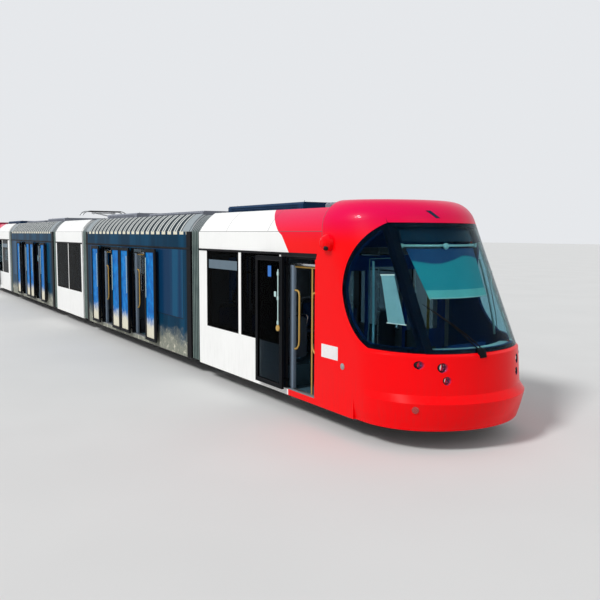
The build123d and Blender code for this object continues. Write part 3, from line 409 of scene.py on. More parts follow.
def worn_steel(name, tint, rough=0.35):
    """Turned steel with fine rings round the axle line and brown dust in the hollows."""
    f = Finish(name, Metallic=0.9)
    lines = f.group(DRAWN_LINES, Vector=f.stretched(f.place, 6.0, 60.0, 6.0), Scale=2.0)["Value"]
    rust = f.step(f.noise(f.place, 9.0, 5.0, 0.65), 0.45, 0.72)
    base = f.mix(f.math("MULTIPLY", rust, 0.7), tint, colour(0.10, 0.055, 0.035))
    f.bump(lines, 0.0006, 0.4)
    return f.feed(Base_Color=base, Roughness=f.math("ADD", rough, f.math("MULTIPLY", rust, 0.35)))


def speckled_floor(name, tint):
    """Hard-wearing floor cover with small pale and dark chips."""
    f = Finish(name)
    chips = f.node("ShaderNodeTexVoronoi", f.place, feature="F1")
    chips.inputs["Scale"].default_value = 130.0
    pale = f.step(chips.outputs["Distance"], 0.16, 0.10)
    base = f.mix(f.math("MULTIPLY", pale, 0.5), tint, colour(0.35, 0.40, 0.42))
    dusty = f.group(ROAD_DUST, Vector=f.place, Colour=base, Dust=colour(0.16, 0.15, 0.13), Amount=0.3,
                    Low_Height=0.2, High_Height=0.6)
    f.bump(f.noise(f.place, 220.0, 2.0), 0.0003, 0.5)
    return f.feed(Base_Color=dusty["Colour"], Roughness=0.6)


PAINT = gloss_paint("cab_coach_paint", front_livery)
WRAP = gloss_paint("wrap_film", wrapped_livery, 0.12, 0.03, 0.010)
WHITE_PAINT = gloss_paint("white_coach_paint", white_livery)
RED_PAINT = gloss_paint("red_coach_paint", nose_livery)
LEAF_FILM = gloss_paint("blue_leaf_film", leaf_livery, 0.12, 0.04, 0.015)
PANE_FILM = gloss_paint("blue_pane_film", pane_livery, 0.05, 0.06, 0.015)
FRIT = satin("black_glass_border", colour(0.002, 0.007, 0.018), 0.12, 300.0, 0.0, 0.03, gloss=0.05)
LINING = satin("saloon_lining", colour(0.30, 0.32, 0.34), 0.5, 260.0, 0.0002, 0.15, low=0.3, high=0.8)
CAB_LINING = satin("cab_lining", colour(0.006, 0.045, 0.160), 0.6, 200.0, 0.0004, 0.05, gloss=0.06)
SIDE_GLASS = tinted_glass("dark_side_glass", colour(0.095, 0.125, 0.150), bend=1.04)
CAB_SIDE_GLASS = tinted_glass("cab_side_glass", colour(0.30, 0.50, 0.58), 0.02, 1.06)
WINDSCREEN = tinted_glass("windscreen_glass", colour(0.52, 0.74, 0.78), 0.02, 1.08)
DOOR_FRAME = satin("door_frame_black", colour(0.006, 0.007, 0.009), 0.40, 240.0, 0.0002, 0.06, gloss=0.03)
FLOOR_COVER = speckled_floor("floor_cover", colour(0.035, 0.085, 0.115))
UNDERFRAME = satin("underframe_paint", colour(0.05, 0.05, 0.055), 0.6, 90.0, 0.0008, 0.9)
DESK = satin("desk_plastic", colour(0.008, 0.060, 0.230), 0.5, 200.0, 0.0004, 0.05, gloss=0.08)
BULKHEAD = satin("bulkhead_panel", colour(0.008, 0.060, 0.280), 0.5, 200.0, 0.0003, 0.05, gloss=0.08)
SEAT_STAND_IN = satin("seat_shell_grey", colour(0.10, 0.14, 0.22), 0.55, 120.0, 0.0006, 0.1)
LAMP_GLASS = tinted_glass("lamp_lens", colour(0.90, 0.92, 0.95), 0.04)
ROOF_GREY = satin("roof_unit_grey", colour(0.25, 0.27, 0.32), 0.55, 60.0, 0.0006, 0.5, low=2.9, high=3.5)
ROOF_BLUE = satin("roof_unit_blue", colour(0.006, 0.035, 0.095), 0.5, 60.0, 0.0006, 0.3, low=2.9, high=3.5,
                  gloss=0.08)
ROOF_DECK = satin("roof_deck", colour(0.33, 0.34, 0.35), 0.65, 60.0, 0.0008, 0.7, low=2.8, high=3.3)
BOGIE = satin("bogie_frame_paint", colour(0.045, 0.045, 0.05), 0.6, 90.0, 0.0009, 1.0)
INSULATOR = satin("insulator_glaze", colour(0.16, 0.050, 0.028), 0.18, 60.0, 0.0001, 0.3, low=2.9, high=3.3,
                  gloss=0.5)
CARBON = satin("contact_strip_carbon", colour(0.025, 0.025, 0.027), 0.55, 200.0, 0.0002, 0.1)
INSULATOR_TOP_Z = 3.118
WHEEL = worn_steel("wheel_steel", colour(0.42, 0.40, 0.38))


FOLD_START = 1.612
FOLD_PITCH = 0.0792


def gaiter_cloth():
    """Coated bellows cloth, with painted shade in the valleys of the folds and painted sunlight on its top
    over the roof.
    """
    f = Finish("bellows_cloth", Specular_IOR_Level=0.15)
    turn = f.math("FRACT", f.math("DIVIDE", f.math("SUBTRACT", f.along(), FOLD_START), FOLD_PITCH))
    off = f.math("ABSOLUTE", f.math("SUBTRACT", turn, 0.5))
    weave = f.group(FINE_GRAIN, Vector=f.place, Scale=180.0)
    tone = f.noise(f.place, 3.0, 4.0, 0.6)
    base = f.mix(f.step(tone, 0.35, 0.75), colour(0.235, 0.305, 0.280), colour(0.165, 0.220, 0.205))
    # Painted sunlight: paler on the top over the roof
    base = f.mix(f.step(f.xyz(f.place)["Z"], 2.86, 2.96), base, colour(0.34, 0.37, 0.38))
    # Painted shade: darker in the valleys of the folds
    fold_valley_shade = f.math("SUBTRACT", 1.0, f.step(off, 0.24, 0.47))
    base = f.mix(f.math("MULTIPLY", fold_valley_shade, 0.88), base, colour(0.016, 0.030, 0.034))
    dusty = f.group(ROAD_DUST, Vector=f.place, Colour=base, Dust=BRAKE_DUST, Amount=0.2, Low_Height=0.2,
                    High_Height=1.2)
    f.bump(weave["Height"], 0.0005, 0.5)
    return f.feed(Base_Color=dusty["Colour"], Roughness=f.math("ADD", 0.55, f.math("MULTIPLY", tone, 0.15)))


BELLOWS = gaiter_cloth()
PANTO = satin("pantograph_metal", colour(0.40, 0.41, 0.42), 0.35, 120.0, 0.0003, 0.3, metal=0.7, low=2.9,
              high=3.4)


def woven(name, warp, weft, scale=420.0, depth=0.0006):
    """Upholstery weave with small flecks and soft worn places."""
    f = Finish(name, Roughness=0.9, Sheen_Weight=0.25)
    across, along, up = f.xyz(f.stretched(f.place, scale, scale, scale))[0:3]
    threads = f.math("MULTIPLY", f.math("SINE", across), f.math("SINE", f.math("ADD", along, up)))
    fleck = f.node("ShaderNodeTexVoronoi", f.place, feature="F1")
    fleck.inputs["Scale"].default_value = 60.0
    base = f.mix(f.step(threads, -0.5, 0.5), warp, weft)
    base = f.mix(f.step(fleck.outputs["Distance"], 0.22, 0.16), base, colour(0.20, 0.32, 0.42))
    worn = f.step(f.noise(f.place, 5.0, 4.0, 0.6), 0.5, 0.75)
    base = f.mix(f.math("MULTIPLY", worn, 0.2), base, colour(0.12, 0.12, 0.13))
    f.bump(threads, depth, 0.6)
    return f.feed(Base_Color=base)


def turned_metal(name, tint, rough=0.25, scale=6.0, metal=1.0):
    """Drawn or brushed metal with fine lines and light handling marks."""
    f = Finish(name, Metallic=metal)
    lines = f.group(DRAWN_LINES, Vector=f.stretched(f.place, 3.0, 3.0, 60.0), Scale=scale)["Value"]
    marks = f.step(f.noise(f.place, 14.0, 4.0, 0.6), 0.5, 0.8)
    base = f.mix(f.math("MULTIPLY", lines, 0.35), tint, colour(*(c * 0.6 for c in tint[:3])))
    f.bump(lines, 0.0002, 0.3)
    return f.feed(Base_Color=base, Roughness=f.math("ADD", rough, f.math("MULTIPLY", marks, 0.18)))


def signal_lens(name, tint):
    """Coloured lens with small prisms behind it."""
    f = Finish(name, Roughness=0.12, Coat_Weight=0.8)
    prisms = f.node("ShaderNodeTexVoronoi", f.place, feature="F1")
    prisms.inputs["Scale"].default_value = 120.0
    base = f.mix(f.step(prisms.outputs["Distance"], 0.2, 0.6), tint, colour(*(c * 0.45 for c in tint[:3])))
    f.bump(prisms.outputs["Distance"], 0.0008, 0.5)
    return f.feed(Base_Color=base)


SEAT_SHELL = satin("seat_shell_plastic", colour(0.070, 0.085, 0.110), 0.45, 260.0, 0.0002, 0.1, low=0.3,
                   high=0.8)
SEAT_FABRIC = woven("seat_moquette", colour(0.012, 0.045, 0.150), colour(0.020, 0.085, 0.240))
DRIVER_FABRIC = woven("driver_seat_cloth", colour(0.018, 0.020, 0.026), colour(0.045, 0.050, 0.060))
HANDRAIL = turned_metal("stainless_handrail", colour(0.55, 0.56, 0.57))
OCHRE = satin("ochre_handrail_paint", colour(0.55, 0.34, 0.085), 0.32, 120.0, 0.0001, 0.08)
BLACK_PLASTIC = satin("black_plastic", colour(0.014, 0.015, 0.018), 0.42, 320.0, 0.0002, 0.06, gloss=0.12)
RUBBER = satin("black_rubber", colour(0.010, 0.010, 0.012), 0.62, 240.0, 0.0003, 0.10, gloss=0.08)
DARK_SCREEN = satin("dark_screen_glass", colour(0.004, 0.030, 0.062), 0.10, 400.0, 0.00003, 0.03, gloss=0.06)
PALE_TRIM = satin("pale_cab_trim", colour(0.52, 0.72, 0.70), 0.42, 260.0, 0.0001, 0.08)
FRAME_LINE = satin("window_frame_line", colour(0.22, 0.27, 0.28), 0.42, 260.0, 0.0001, 0.05)
DOOR_POST = satin("door_post_grey", colour(0.20, 0.26, 0.33), 0.45, 260.0, 0.0001, 0.1)
PALE_PANEL = satin("pale_window_panel", colour(0.105, 0.155, 0.195), 0.4, 260.0, 0.0001, 0.05)
WHITE_PLATE = satin("white_sign_plate", colour(0.82, 0.80, 0.79), 0.30, 300.0, 0.00005, 0.1)
BLUE_STICKER = satin("blue_blank_sticker", colour(0.02, 0.16, 0.55), 0.35, 300.0, 0.00005, 0.05)
SIDE_BLIND = woven("side_blind_cloth", colour(0.34, 0.56, 0.54), colour(0.42, 0.64, 0.62), 900.0, 0.0002)


def roller_blind():
    """Teal blind cloth, with a painted shadow of the brow over its upper part and a paler hem."""
    f = Finish("teal_blind_cloth", Roughness=0.9, Sheen_Weight=0.1)
    across, along, up = f.xyz(f.stretched(f.place, 900.0, 900.0, 900.0))[0:3]
    threads = f.math("MULTIPLY", f.math("SINE", along), f.math("SINE", up))
    place = f.xyz(f.place)
    base = f.mix(f.step(threads, -0.5, 0.5), colour(0.008, 0.330, 0.380), colour(0.014, 0.380, 0.430))
    # Painted shadow of the brow: the cloth is darkened above a wavy edge
    brow_shadow_wave = f.math("MULTIPLY", f.math("SINE", f.math("MULTIPLY", place["Y"], 4.6)), 0.055)
    line = f.math("ADD", f.math("ADD", brow_shadow_wave, 2.47), f.math("MULTIPLY", f.noise(f.place, 3.0, 2.0), 0.06))
    dark = f.step(f.math("SUBTRACT", place["Z"], line), -0.015, 0.02)
    base = f.mix(dark, base, colour(0.004, 0.062, 0.190))
    hem = f.math("SUBTRACT", 1.0, f.step(place["Z"], 2.100, 2.106))
    base = f.mix(hem, base, colour(0.20, 0.62, 0.58))
    f.bump(threads, 0.0002, 0.6)
    return f.feed(Base_Color=base)


BLIND_CLOTH = roller_blind()
CHROME = turned_metal("lamp_reflector_metal", colour(0.80, 0.80, 0.80), 0.08, 3.0)
BRUSHED = turned_metal("brushed_steel", colour(0.48, 0.49, 0.50), 0.35)
RED_LENS = signal_lens("red_marker_lens", colour(0.55, 0.02, 0.015))


# Finishes of the frame's own nodes


def dress(node, *finishes):
    """Gives the node its finishes; the first is on every face until a rule moves some to another."""
    data = NODES[node].data
    data.materials.clear()
    for finish in finishes:
        data.materials.append(finish)
    for face in data.polygons:
        face.material_index = 0


def tree_of(*nodes):
    points, faces = [], []
    for node in nodes:
        data = NODES[node].data
        first = len(points)
        points += [v.co.copy() for v in data.vertices]
        faces += [[first + i for i in face.vertices] for face in data.polygons]
    return BVHTree.FromPolygons(points, faces)


def choose_faces(node, index, rule):
    for face in NODES[node].data.polygons:
        if rule(face.center, face.normal):
            face.material_index = index


def behind_glass(*glass_nodes):
    """Rule for the faces that a pane lies against."""
    glass = tree_of(*glass_nodes)

    def rule(centre, normal):
        return glass.ray_cast(centre - normal * 0.001, normal, 0.004)[0] is not None
    return rule


def meeting(*nodes):
    """Rule for the faces that look at one of these nodes, as the walls of a room or an opening do."""
    walls = tree_of(*nodes)

    def rule(centre, normal):
        return walls.ray_cast(centre + normal * 0.0005, normal, 3.0)[0] is not None
    return rule


def facing_inward(rear, front, low=0.32, high=2.75):
    """Rule for the faces that look into the room between rear and front."""
    def rule(centre, normal):
        x = min(max(abs(centre.x), rear), front)
        inner = Vector((math.copysign(x, centre.x), 0.0, 1.6)) - centre
        return low < centre.z < high and normal.dot(inner) > 0 and abs(centre.y) < HALF_WIDTH - 0.02
    return rule


ROOF_DECK_Z = 2.930
INNER_INSET = 0.40
PANE_SEAM_Y = 0.860
SCREEN_FOOT, SCREEN_TOP = 1.297, 3.020
CAB_CONVERTER_X = CAB_REAR + 3.200


def on_leaf(centre, normal):
    """Rule for the glass of the hung sections that is in a door leaf."""
    return any(low - 0.6 < abs(centre.x) < high + 0.6 for low, high in HUNG_DOOR_X) and (
        centre.y < -HALF_WIDTH - 0.02 or HALF_WIDTH - 0.035 < centre.y < HALF_WIDTH - 0.013)


for end, way in ENDS:
    cab, hung = f"cab_{end}", f"hung_{end}"
    dress(f"{cab}_shell", PAINT, LINING, FRIT, ROOF_DECK)
    choose_faces(f"{cab}_shell", 1, facing_inward(CAB_REAR + INNER_INSET, NOSE_REAR + INNER_INSET))
    dress(f"{cab}_nose", RED_PAINT, CAB_LINING, FRIT)
    choose_faces(f"{cab}_nose", 1, meeting(f"{cab}_nose", f"{cab}_glass", f"{cab}_windscreen",
                                           f"{cab}_lamps"))
    choose_faces(f"{cab}_nose", 2, lambda centre, normal: abs(abs(centre.y) - PANE_SEAM_Y) < 0.006
                 and SCREEN_FOOT < centre.z < SCREEN_TOP)
    for node in (f"{cab}_shell", f"{cab}_nose"):
        choose_faces(node, 2, behind_glass(f"{cab}_glass", f"{cab}_windscreen"))
    dress(f"{hung}_shell", WRAP, LINING, FRIT, ROOF_DECK)
    choose_faces(f"{hung}_shell", 1, facing_inward(HUNG_REAR + INNER_INSET, HUNG_FRONT - INNER_INSET))
    choose_faces(f"{hung}_shell", 2, behind_glass(f"{hung}_glass"))
    dress(f"{cab}_windscreen", WINDSCREEN)
    dress(f"{cab}_bumper", RED_PAINT)
    dress(f"{cab}_lamps", LAMP_GLASS)
    dress(f"{cab}_driver_place", DESK, BULKHEAD)
    choose_faces(f"{cab}_driver_place", 1, lambda centre, normal: abs(centre.x) < CAB_TIP - 2.2)
    dress(f"{cab}_glass", SIDE_GLASS, CAB_SIDE_GLASS)
    choose_faces(f"{cab}_glass", 1, lambda centre, normal: abs(centre.x) > NOSE_REAR)
    dress(f"{hung}_glass", PANE_FILM, LEAF_FILM)
    choose_faces(f"{hung}_glass", 1, on_leaf)
    dress(f"{cab}_doors", DOOR_FRAME)
    dress(f"{hung}_doors", DOOR_FRAME)
    dress(f"{cab}_wheel_boxes", FLOOR_COVER, UNDERFRAME)
    choose_faces(f"{cab}_wheel_boxes", 1, lambda centre, normal: normal.z < -0.5)
    for section in (cab, hung):
        dress(f"{section}_floor", FLOOR_COVER, UNDERFRAME)
        choose_faces(f"{section}_floor", 1, lambda centre, normal: normal.z < 0.5)
        dress(f"{section}_seats", SEAT_STAND_IN)
        dress(f"{section}_bellows", BELLOWS)
    dress(f"{cab}_roof", PAINT, ROOF_GREY, ROOF_BLUE)
    dress(f"{hung}_roof", WRAP, ROOF_GREY)
    dress(f"{cab}_bogie", BOGIE)
    for wheels in (f"{cab}_wheels_1", f"{cab}_wheels_2", f"centre_wheels_{end}"):
        dress(wheels, WHEEL)
dress("centre_shell", WHITE_PAINT, LINING, FRIT, ROOF_DECK)
choose_faces("centre_shell", 1, facing_inward(0.0, CENTRE_END - INNER_INSET))
choose_faces("centre_shell", 2, behind_glass("centre_glass"))
dress("centre_glass", SIDE_GLASS)
dress("centre_floor", FLOOR_COVER, UNDERFRAME)
choose_faces("centre_floor", 1, lambda centre, normal: normal.z < 0.5)
dress("centre_seats", SEAT_STAND_IN)
dress("centre_roof", WHITE_PAINT, ROOF_GREY)
dress("centre_bogie", BOGIE)
for node in ("panto_base", "panto_lower_arm", "panto_upper_arm", "panto_head"):
    dress(node, PANTO, INSULATOR, CARBON)
choose_faces("panto_base", 1, lambda centre, normal: centre.z < INSULATOR_TOP_Z)
STRIP_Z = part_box("panto_head")[1].z - 0.036
choose_faces("panto_head", 2, lambda centre, normal: centre.z > STRIP_Z and abs(centre.y) < 0.53)

SHELLS = [f"{name}_{end}_shell" for name in ("cab", "hung") for end, way in ENDS] + ["centre_shell"]
for node in SHELLS:
    choose_faces(node, 3, lambda centre, normal: centre.z > ROOF_DECK_Z and normal.z > 0.5
                 and abs(centre.y) < HALF_WIDTH - 0.07)
    choose_faces(node, 2, lambda centre, normal: abs(normal.y) < 0.5 and 1.04 < centre.z < WINDOW_TOP_Z + 0.02
                 and HALF_WIDTH - WALL_DEPTH < abs(centre.y) < HALF_WIDTH - 0.002)
ROOFS = [f"{name}_{end}_roof" for name in ("cab", "hung") for end, way in ENDS] + ["centre_roof"]
for node in ROOFS:
    choose_faces(node, 1, lambda centre, normal: abs(centre.y) < 0.90)
for end, way in ENDS:
    choose_faces(f"cab_{end}_roof", 2, lambda centre, normal: abs(centre.y) < 0.90
                 and abs(centre.x) < CAB_CONVERTER_X)


# Forms in mesh code

# Stands in for no radius at the end of a turned shape
LEAST_RADIUS = 0.0005


class Form:
    """Mesh under construction; each call adds one closed shape to it."""

    def __init__(self):
        self.mesh = bmesh.new()

    def _bevel(self, points, width, segments):
        if width:
            edges = {edge for point in points for edge in point.link_edges}
            bmesh.ops.bevel(self.mesh, geom=list(edges), offset=width, segments=segments, affect="EDGES",
                            profile=0.5, clamp_overlap=True)

    def block(self, one, other, bevel=0.004, segments=2, turn=None):
        """Block between two opposite corners, edges rounded; turn is a matrix about its middle."""
        low, high = (Vector([pick(pair) for pair in zip(one, other)]) for pick in (min, max))
        place = Matrix.Translation((low + high) / 2)
        if turn is not None:
            place = place @ turn.to_4x4()
        size = Matrix.Diagonal((*(high - low), 1.0))
        made = bmesh.ops.create_cube(self.mesh, size=1.0, matrix=place @ size)["verts"]
        self._bevel(made, bevel, segments)

    def prism(self, outline, depth, bevel=0.0, segments=2):
        """Flat outline of points, given in order, pushed along the vector depth."""
        depth = Vector(depth)
        near = [self.mesh.verts.new(Vector(p)) for p in outline]
        far = [self.mesh.verts.new(Vector(p) + depth) for p in outline]
        faces = [self.mesh.faces.new(near), self.mesh.faces.new(far[::-1])]
        for i, point in enumerate(near):
            after = (i + 1) % len(near)
            faces.append(self.mesh.faces.new((point, far[i], far[after], near[after])))
        bmesh.ops.recalc_face_normals(self.mesh, faces=faces)
        self._bevel(near + far, bevel, segments)

    def tube(self, path, radius, sides=10):
        """Round tube along points; radius is one value or one for each point."""
        path = [Vector(p) for p in path]
        radii = radius if isinstance(radius, (list, tuple)) else [radius] * len(path)
        last = len(path) - 1
        heading = [(path[min(i + 1, last)] - path[max(i - 1, 0)]).normalized() for i in range(last + 1)]
        side = heading[0].orthogonal().normalized()
        rings = []
        for point, ahead, r in zip(path, heading, radii):
            side = (side - ahead * side.dot(ahead)).normalized()
            rings.append(self._ring(point, side, ahead.cross(side), r, sides))
        self._close_rings(rings)

    def lathe(self, rings, origin, axis, sides=32):
        """Turned shape; a ring gives its distance along the axis and its radius."""
        origin, axis = Vector(origin), Vector(axis).normalized()
        side = axis.orthogonal().normalized()
        up = axis.cross(side)
        self._close_rings([self._ring(origin + axis * along, side, up, max(r, LEAST_RADIUS), sides)
                           for along, r in rings])

    def _ring(self, middle, side, up, radius, sides):
        return [self.mesh.verts.new(middle + (side * math.cos(a) + up * math.sin(a)) * radius)
                for a in (2 * math.pi * k / sides for k in range(sides))]

    def _close_rings(self, rings):
        """Skins rings that have equally many points, and closes both ends."""
        for first, second in zip(rings, rings[1:]):
            for k, point in enumerate(first):
                after = (k + 1) % len(first)
                self.mesh.faces.new((point, first[after], second[after], second[k]))
        self.mesh.faces.new(rings[0][::-1])
        self.mesh.faces.new(rings[-1])

    def sheet(self, rows, thickness, away):
        """Curved sheet through rows of points, this thick, with its other face in the direction away."""
        away = Vector(away) * thickness
        near = [[self.mesh.verts.new(Vector(p)) for p in row] for row in rows]
        far = [[self.mesh.verts.new(Vector(p) + away) for p in row] for row in rows]
        self.close_sheet(near, far)

    def close_sheet(self, near, far):
        """Closes two equal grids of points into one thin solid."""
        faces, new = [], self.mesh.faces.new
        last_row, last = len(near) - 1, len(near[0]) - 1
        for i in range(last_row):
            for j in range(last):
                faces.append(new((near[i][j], near[i][j + 1], near[i + 1][j + 1], near[i + 1][j])))
                faces.append(new((far[i][j], far[i + 1][j], far[i + 1][j + 1], far[i][j + 1])))
        for j in range(last):
            faces.append(new((near[0][j], far[0][j], far[0][j + 1], near[0][j + 1])))
            faces.append(new((near[-1][j], near[-1][j + 1], far[-1][j + 1], far[-1][j])))
        for i in range(last_row):
            faces.append(new((near[i][0], near[i + 1][0], far[i + 1][0], far[i][0])))
            faces.append(new((near[i][last], far[i][last], far[i + 1][last], near[i + 1][last])))
        bmesh.ops.recalc_face_normals(self.mesh, faces=faces)

    def object(self, name, finish, flip=False, sharp=35):
        """Blender object from the form; flip gives its mirror image at the other end of the tram."""
        work = self.mesh.copy()
        if flip:
            for vertex in work.verts:
                vertex.co.x = -vertex.co.x
            bmesh.ops.reverse_faces(work, faces=work.faces)
        data = bpy.data.meshes.new(name)
        work.to_mesh(data)
        work.free()
        data.materials.append(finish)
        data.shade_smooth()
        data.set_sharp_from_angle(angle=math.radians(sharp))
        made = bpy.data.objects.new(name, data)
        bpy.context.scene.collection.objects.link(made)
        return made


def put_on(piece, body, replaces):
    """Lets a piece ride on its body, and in place of the frame's node if one is named."""
    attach(piece, body)
    if replaces:
        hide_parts(replaces)
    return piece


def show(form, name, body, finish, sharp=35, replaces=None):
    """Places the form on both halves of the tram, riding on body_a and body_b."""
    return [put_on(form.object(f"{name}_{end}", finish, way < 0, sharp), f"{body}_{end}",
                   replaces and replaces.format(end)) for end, way in ENDS]


def show_section(form, section, name, finish, sharp=35, replaces=None):
    """Places the form on the centre section or on both sections of a kind; the pieces are named for it."""
    if section != "centre":
        return show(form, f"{section}_{name}", section, finish, sharp,
                    replaces and section + "_{}_" + replaces)
    piece = form.object(f"centre_{name}", finish, False, sharp)
    return [put_on(piece, "centre", replaces and "centre_" + replaces)]


# Shapes of the cab's skin

SCREEN_RADIUS = 1.460
SCREEN_HALF_WIDTH = 0.860
CAB_HALF_WIDTH = 1.325
SCREEN_FOOT_X = CAB_TIP - 0.175
SCREEN_RAKE = math.tan(math.radians(26))
APRON_LIP = (1.275, CAB_TIP - 0.140)
APRON_FOOT = (0.775, CAB_TIP - 0.095)
BUMPER_SECTIONS = ((0.675, CAB_TIP), (0.600, CAB_TIP - 0.020), (0.450, CAB_TIP - 0.065),
                   (0.300, CAB_TIP - 0.120))
SCREEN_TURN = math.asin(SCREEN_HALF_WIDTH / SCREEN_RADIUS)
CORNER_RADIUS = (CAB_HALF_WIDTH - SCREEN_HALF_WIDTH) / (1 - math.sin(SCREEN_TURN))


def skin_tip(z):
    """Foremost x of the cab's skin at a height."""
    if z >= SCREEN_FOOT:
        return SCREEN_FOOT_X - SCREEN_RAKE * (z - SCREEN_FOOT)
    rows = ((SCREEN_FOOT, SCREEN_FOOT_X), APRON_LIP, APRON_FOOT) + BUMPER_SECTIONS
    for (high, high_x), (low, low_x) in zip(rows, rows[1:]):
        if z >= low:
            return low_x + (high_x - low_x) * (z - low) / (high - low)
    return rows[-1][1]


def skin(y, z, out=0.0):
    """Point of the cab's skin at y and z, moved outward in plan."""
    side = math.copysign(1.0, y)
    front = skin_tip(z) - SCREEN_RADIUS
    if abs(y) <= SCREEN_HALF_WIDTH:
        middle, radius, off = front, SCREEN_RADIUS, 0.0
    else:
        radius = CORNER_RADIUS
        middle = front + (SCREEN_RADIUS - radius) * math.cos(SCREEN_TURN)
        off = (SCREEN_RADIUS - radius) * math.sin(SCREEN_TURN)
    across = min((abs(y) - off) / radius, 1.0)
    along = math.sqrt(1.0 - across * across)
    return Vector((middle + (radius + out) * along, side * (off + (radius + out) * across), z))


def steps(low, high, count):
    """Evenly spaced values from low to high, both included."""
    return [low + (high - low) * i / count for i in range(count + 1)]


# Bellows

FAIRING_TOP = (1.000, 3.257)
FAIRING_BULGE = 0.034
BELLOWS_FOLDS = 5
FOLD_DEPTH = 0.046
GAP_FIT = 0.012
BELLOWS_FOOT_Z = 0.310
ROWS_PER_FOLD = 6
BELLOWS_INSET = 0.036
BELLOWS_THICKNESS = 0.006


def hoop(inset):
    """Half outline of the bellows from the foot up to the middle of its roof, as (y, z)."""
    low = Vector((HALF_WIDTH - inset, SEAM_Z))
    high = Vector((FAIRING_TOP[0] - inset, FAIRING_TOP[1] - inset))
    out = Vector((high.y - low.y, low.x - high.x)).normalized() * FAIRING_BULGE * 4
    arc = [low.lerp(high, t) + out * t * (1 - t) for t in steps(0, 1, 6)]
    turn = [high + Vector((-0.02, 0.004)), high + Vector((-0.06, 0.008))]
    side = [Vector((low.x, z)) for z in steps(BELLOWS_FOOT_Z, SEAM_Z - 0.04, 10)]
    return side + arc + turn + [Vector((high.x * f, high.y + 0.008)) for f in (0.7, 0.35)]


def bellows_form(rear, front):
    """Ribbed gaiter between two section ends."""
    form = Form()
    rows = []
    count = BELLOWS_FOLDS * ROWS_PER_FOLD
    for i in range(count + 1):
        x = rear + GAP_FIT + (front - rear - 2 * GAP_FIT) * i / count
        inset = BELLOWS_INSET + FOLD_DEPTH * (0.5 - 0.5 * math.cos(2 * math.pi * i / ROWS_PER_FOLD)) ** 1.4
        half = hoop(inset)
        rows.append([Vector((x, -p.x, p.y)) for p in half] + [Vector((x, 0.0, half[-1].y))]
                    + [Vector((x, p.x, p.y)) for p in reversed(half)])
    near = [[form.mesh.verts.new(p) for p in row] for row in rows]
    far = []
    for row in rows:
        inner = []
        for p in row:
            aim = Vector((0.0, -p.y, 0.0 if p.z < SEAM_Z - 0.05 else -1.2)).normalized()
            inner.append(form.mesh.verts.new(p + aim * BELLOWS_THICKNESS))
        far.append(inner)
    form.close_sheet(near, far)
    return form


def add_bellows():
    """Gaiters over the four articulations, in place of the frame's bellows."""
    for name, rear, front, rear_body, front_body in (
            ("outer_bellows", HUNG_FRONT, CAB_REAR, "hung_{}", "cab_{}"),
            ("inner_bellows", CENTRE_END, HUNG_REAR, "centre", "hung_{}")):
        form = bellows_form(rear, front)
        for end, way in ENDS:
            piece = form.object(f"{name}_{end}", BELLOWS, way < 0, 50)
            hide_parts(front_body.format(end) + "_bellows")
            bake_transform(piece)


# Seats

SEAT_Y = 0.9625
POLE_Y = 0.640
POLE_RADIUS = 0.0165
# Seat shell from the pan's front lip to the back's top: height over the pan, reach and half width
SEAT_PROFILE = ((-0.075, 0.425, 0.215), (-0.085, 0.30, 0.222), (-0.088, 0.12, 0.222), (-0.07, 0.055, 0.22),
                (0.02, 0.034, 0.222), (0.22, 0.024, 0.224), (0.42, 0.016, 0.218), (0.54, 0.012, 0.205),
                (0.60, 0.012, 0.175), (0.618, 0.014, 0.12))
CAB_BOGIE_X = CAB_REAR + 1.770
BOGIE_ROWS = ((-1.270, 1), (-0.035, -1), (0.035, 1), (1.270, -1))
HUNG_SEATS = ((HUNG_REAR + 0.330, 1), (HUNG_DOOR_X[0][0] - 0.050, -1), (HUNG_DOOR_X[0][1] + 0.060, 1),
              (HUNG_DOOR_X[1][0] - 0.060, -1), (HUNG_DOOR_X[1][1] + 0.080, 1), (HUNG_FRONT - 1.110, -1))
LOW_PAN_Z = 0.805
BOX_PAN_Z = 0.885
BOX_TOP_Z = 0.705


def seat_shell(form, x, facing, y, pan_z, foot_z):
    """Moulded seat shell: curved back, side wings and a tapered foot."""
    def at(forward, across, up):
        return Vector((x + facing * forward, y + across, pan_z + up))
    rows = []
    for up, forward, half in SEAT_PROFILE:
        row = []
        for t in steps(-1, 1, 10):
            lift = 0.030 * abs(t) ** 4
            if up < 0:
                row.append(at(forward, half * t, up + lift))
            else:
                row.append(at(forward + lift, half * t, up))
        rows.append(row)
    form.sheet(rows, 0.014, (-facing * 0.7, 0, -0.7))
    form.block((x + facing * 0.13, y - 0.07, foot_z), (x + facing * 0.31, y + 0.07, pan_z - 0.095), 0.012)
    form.block((x + facing * 0.10, y - 0.10, foot_z), (x + facing * 0.34, y + 0.10, foot_z + 0.012), 0.004)


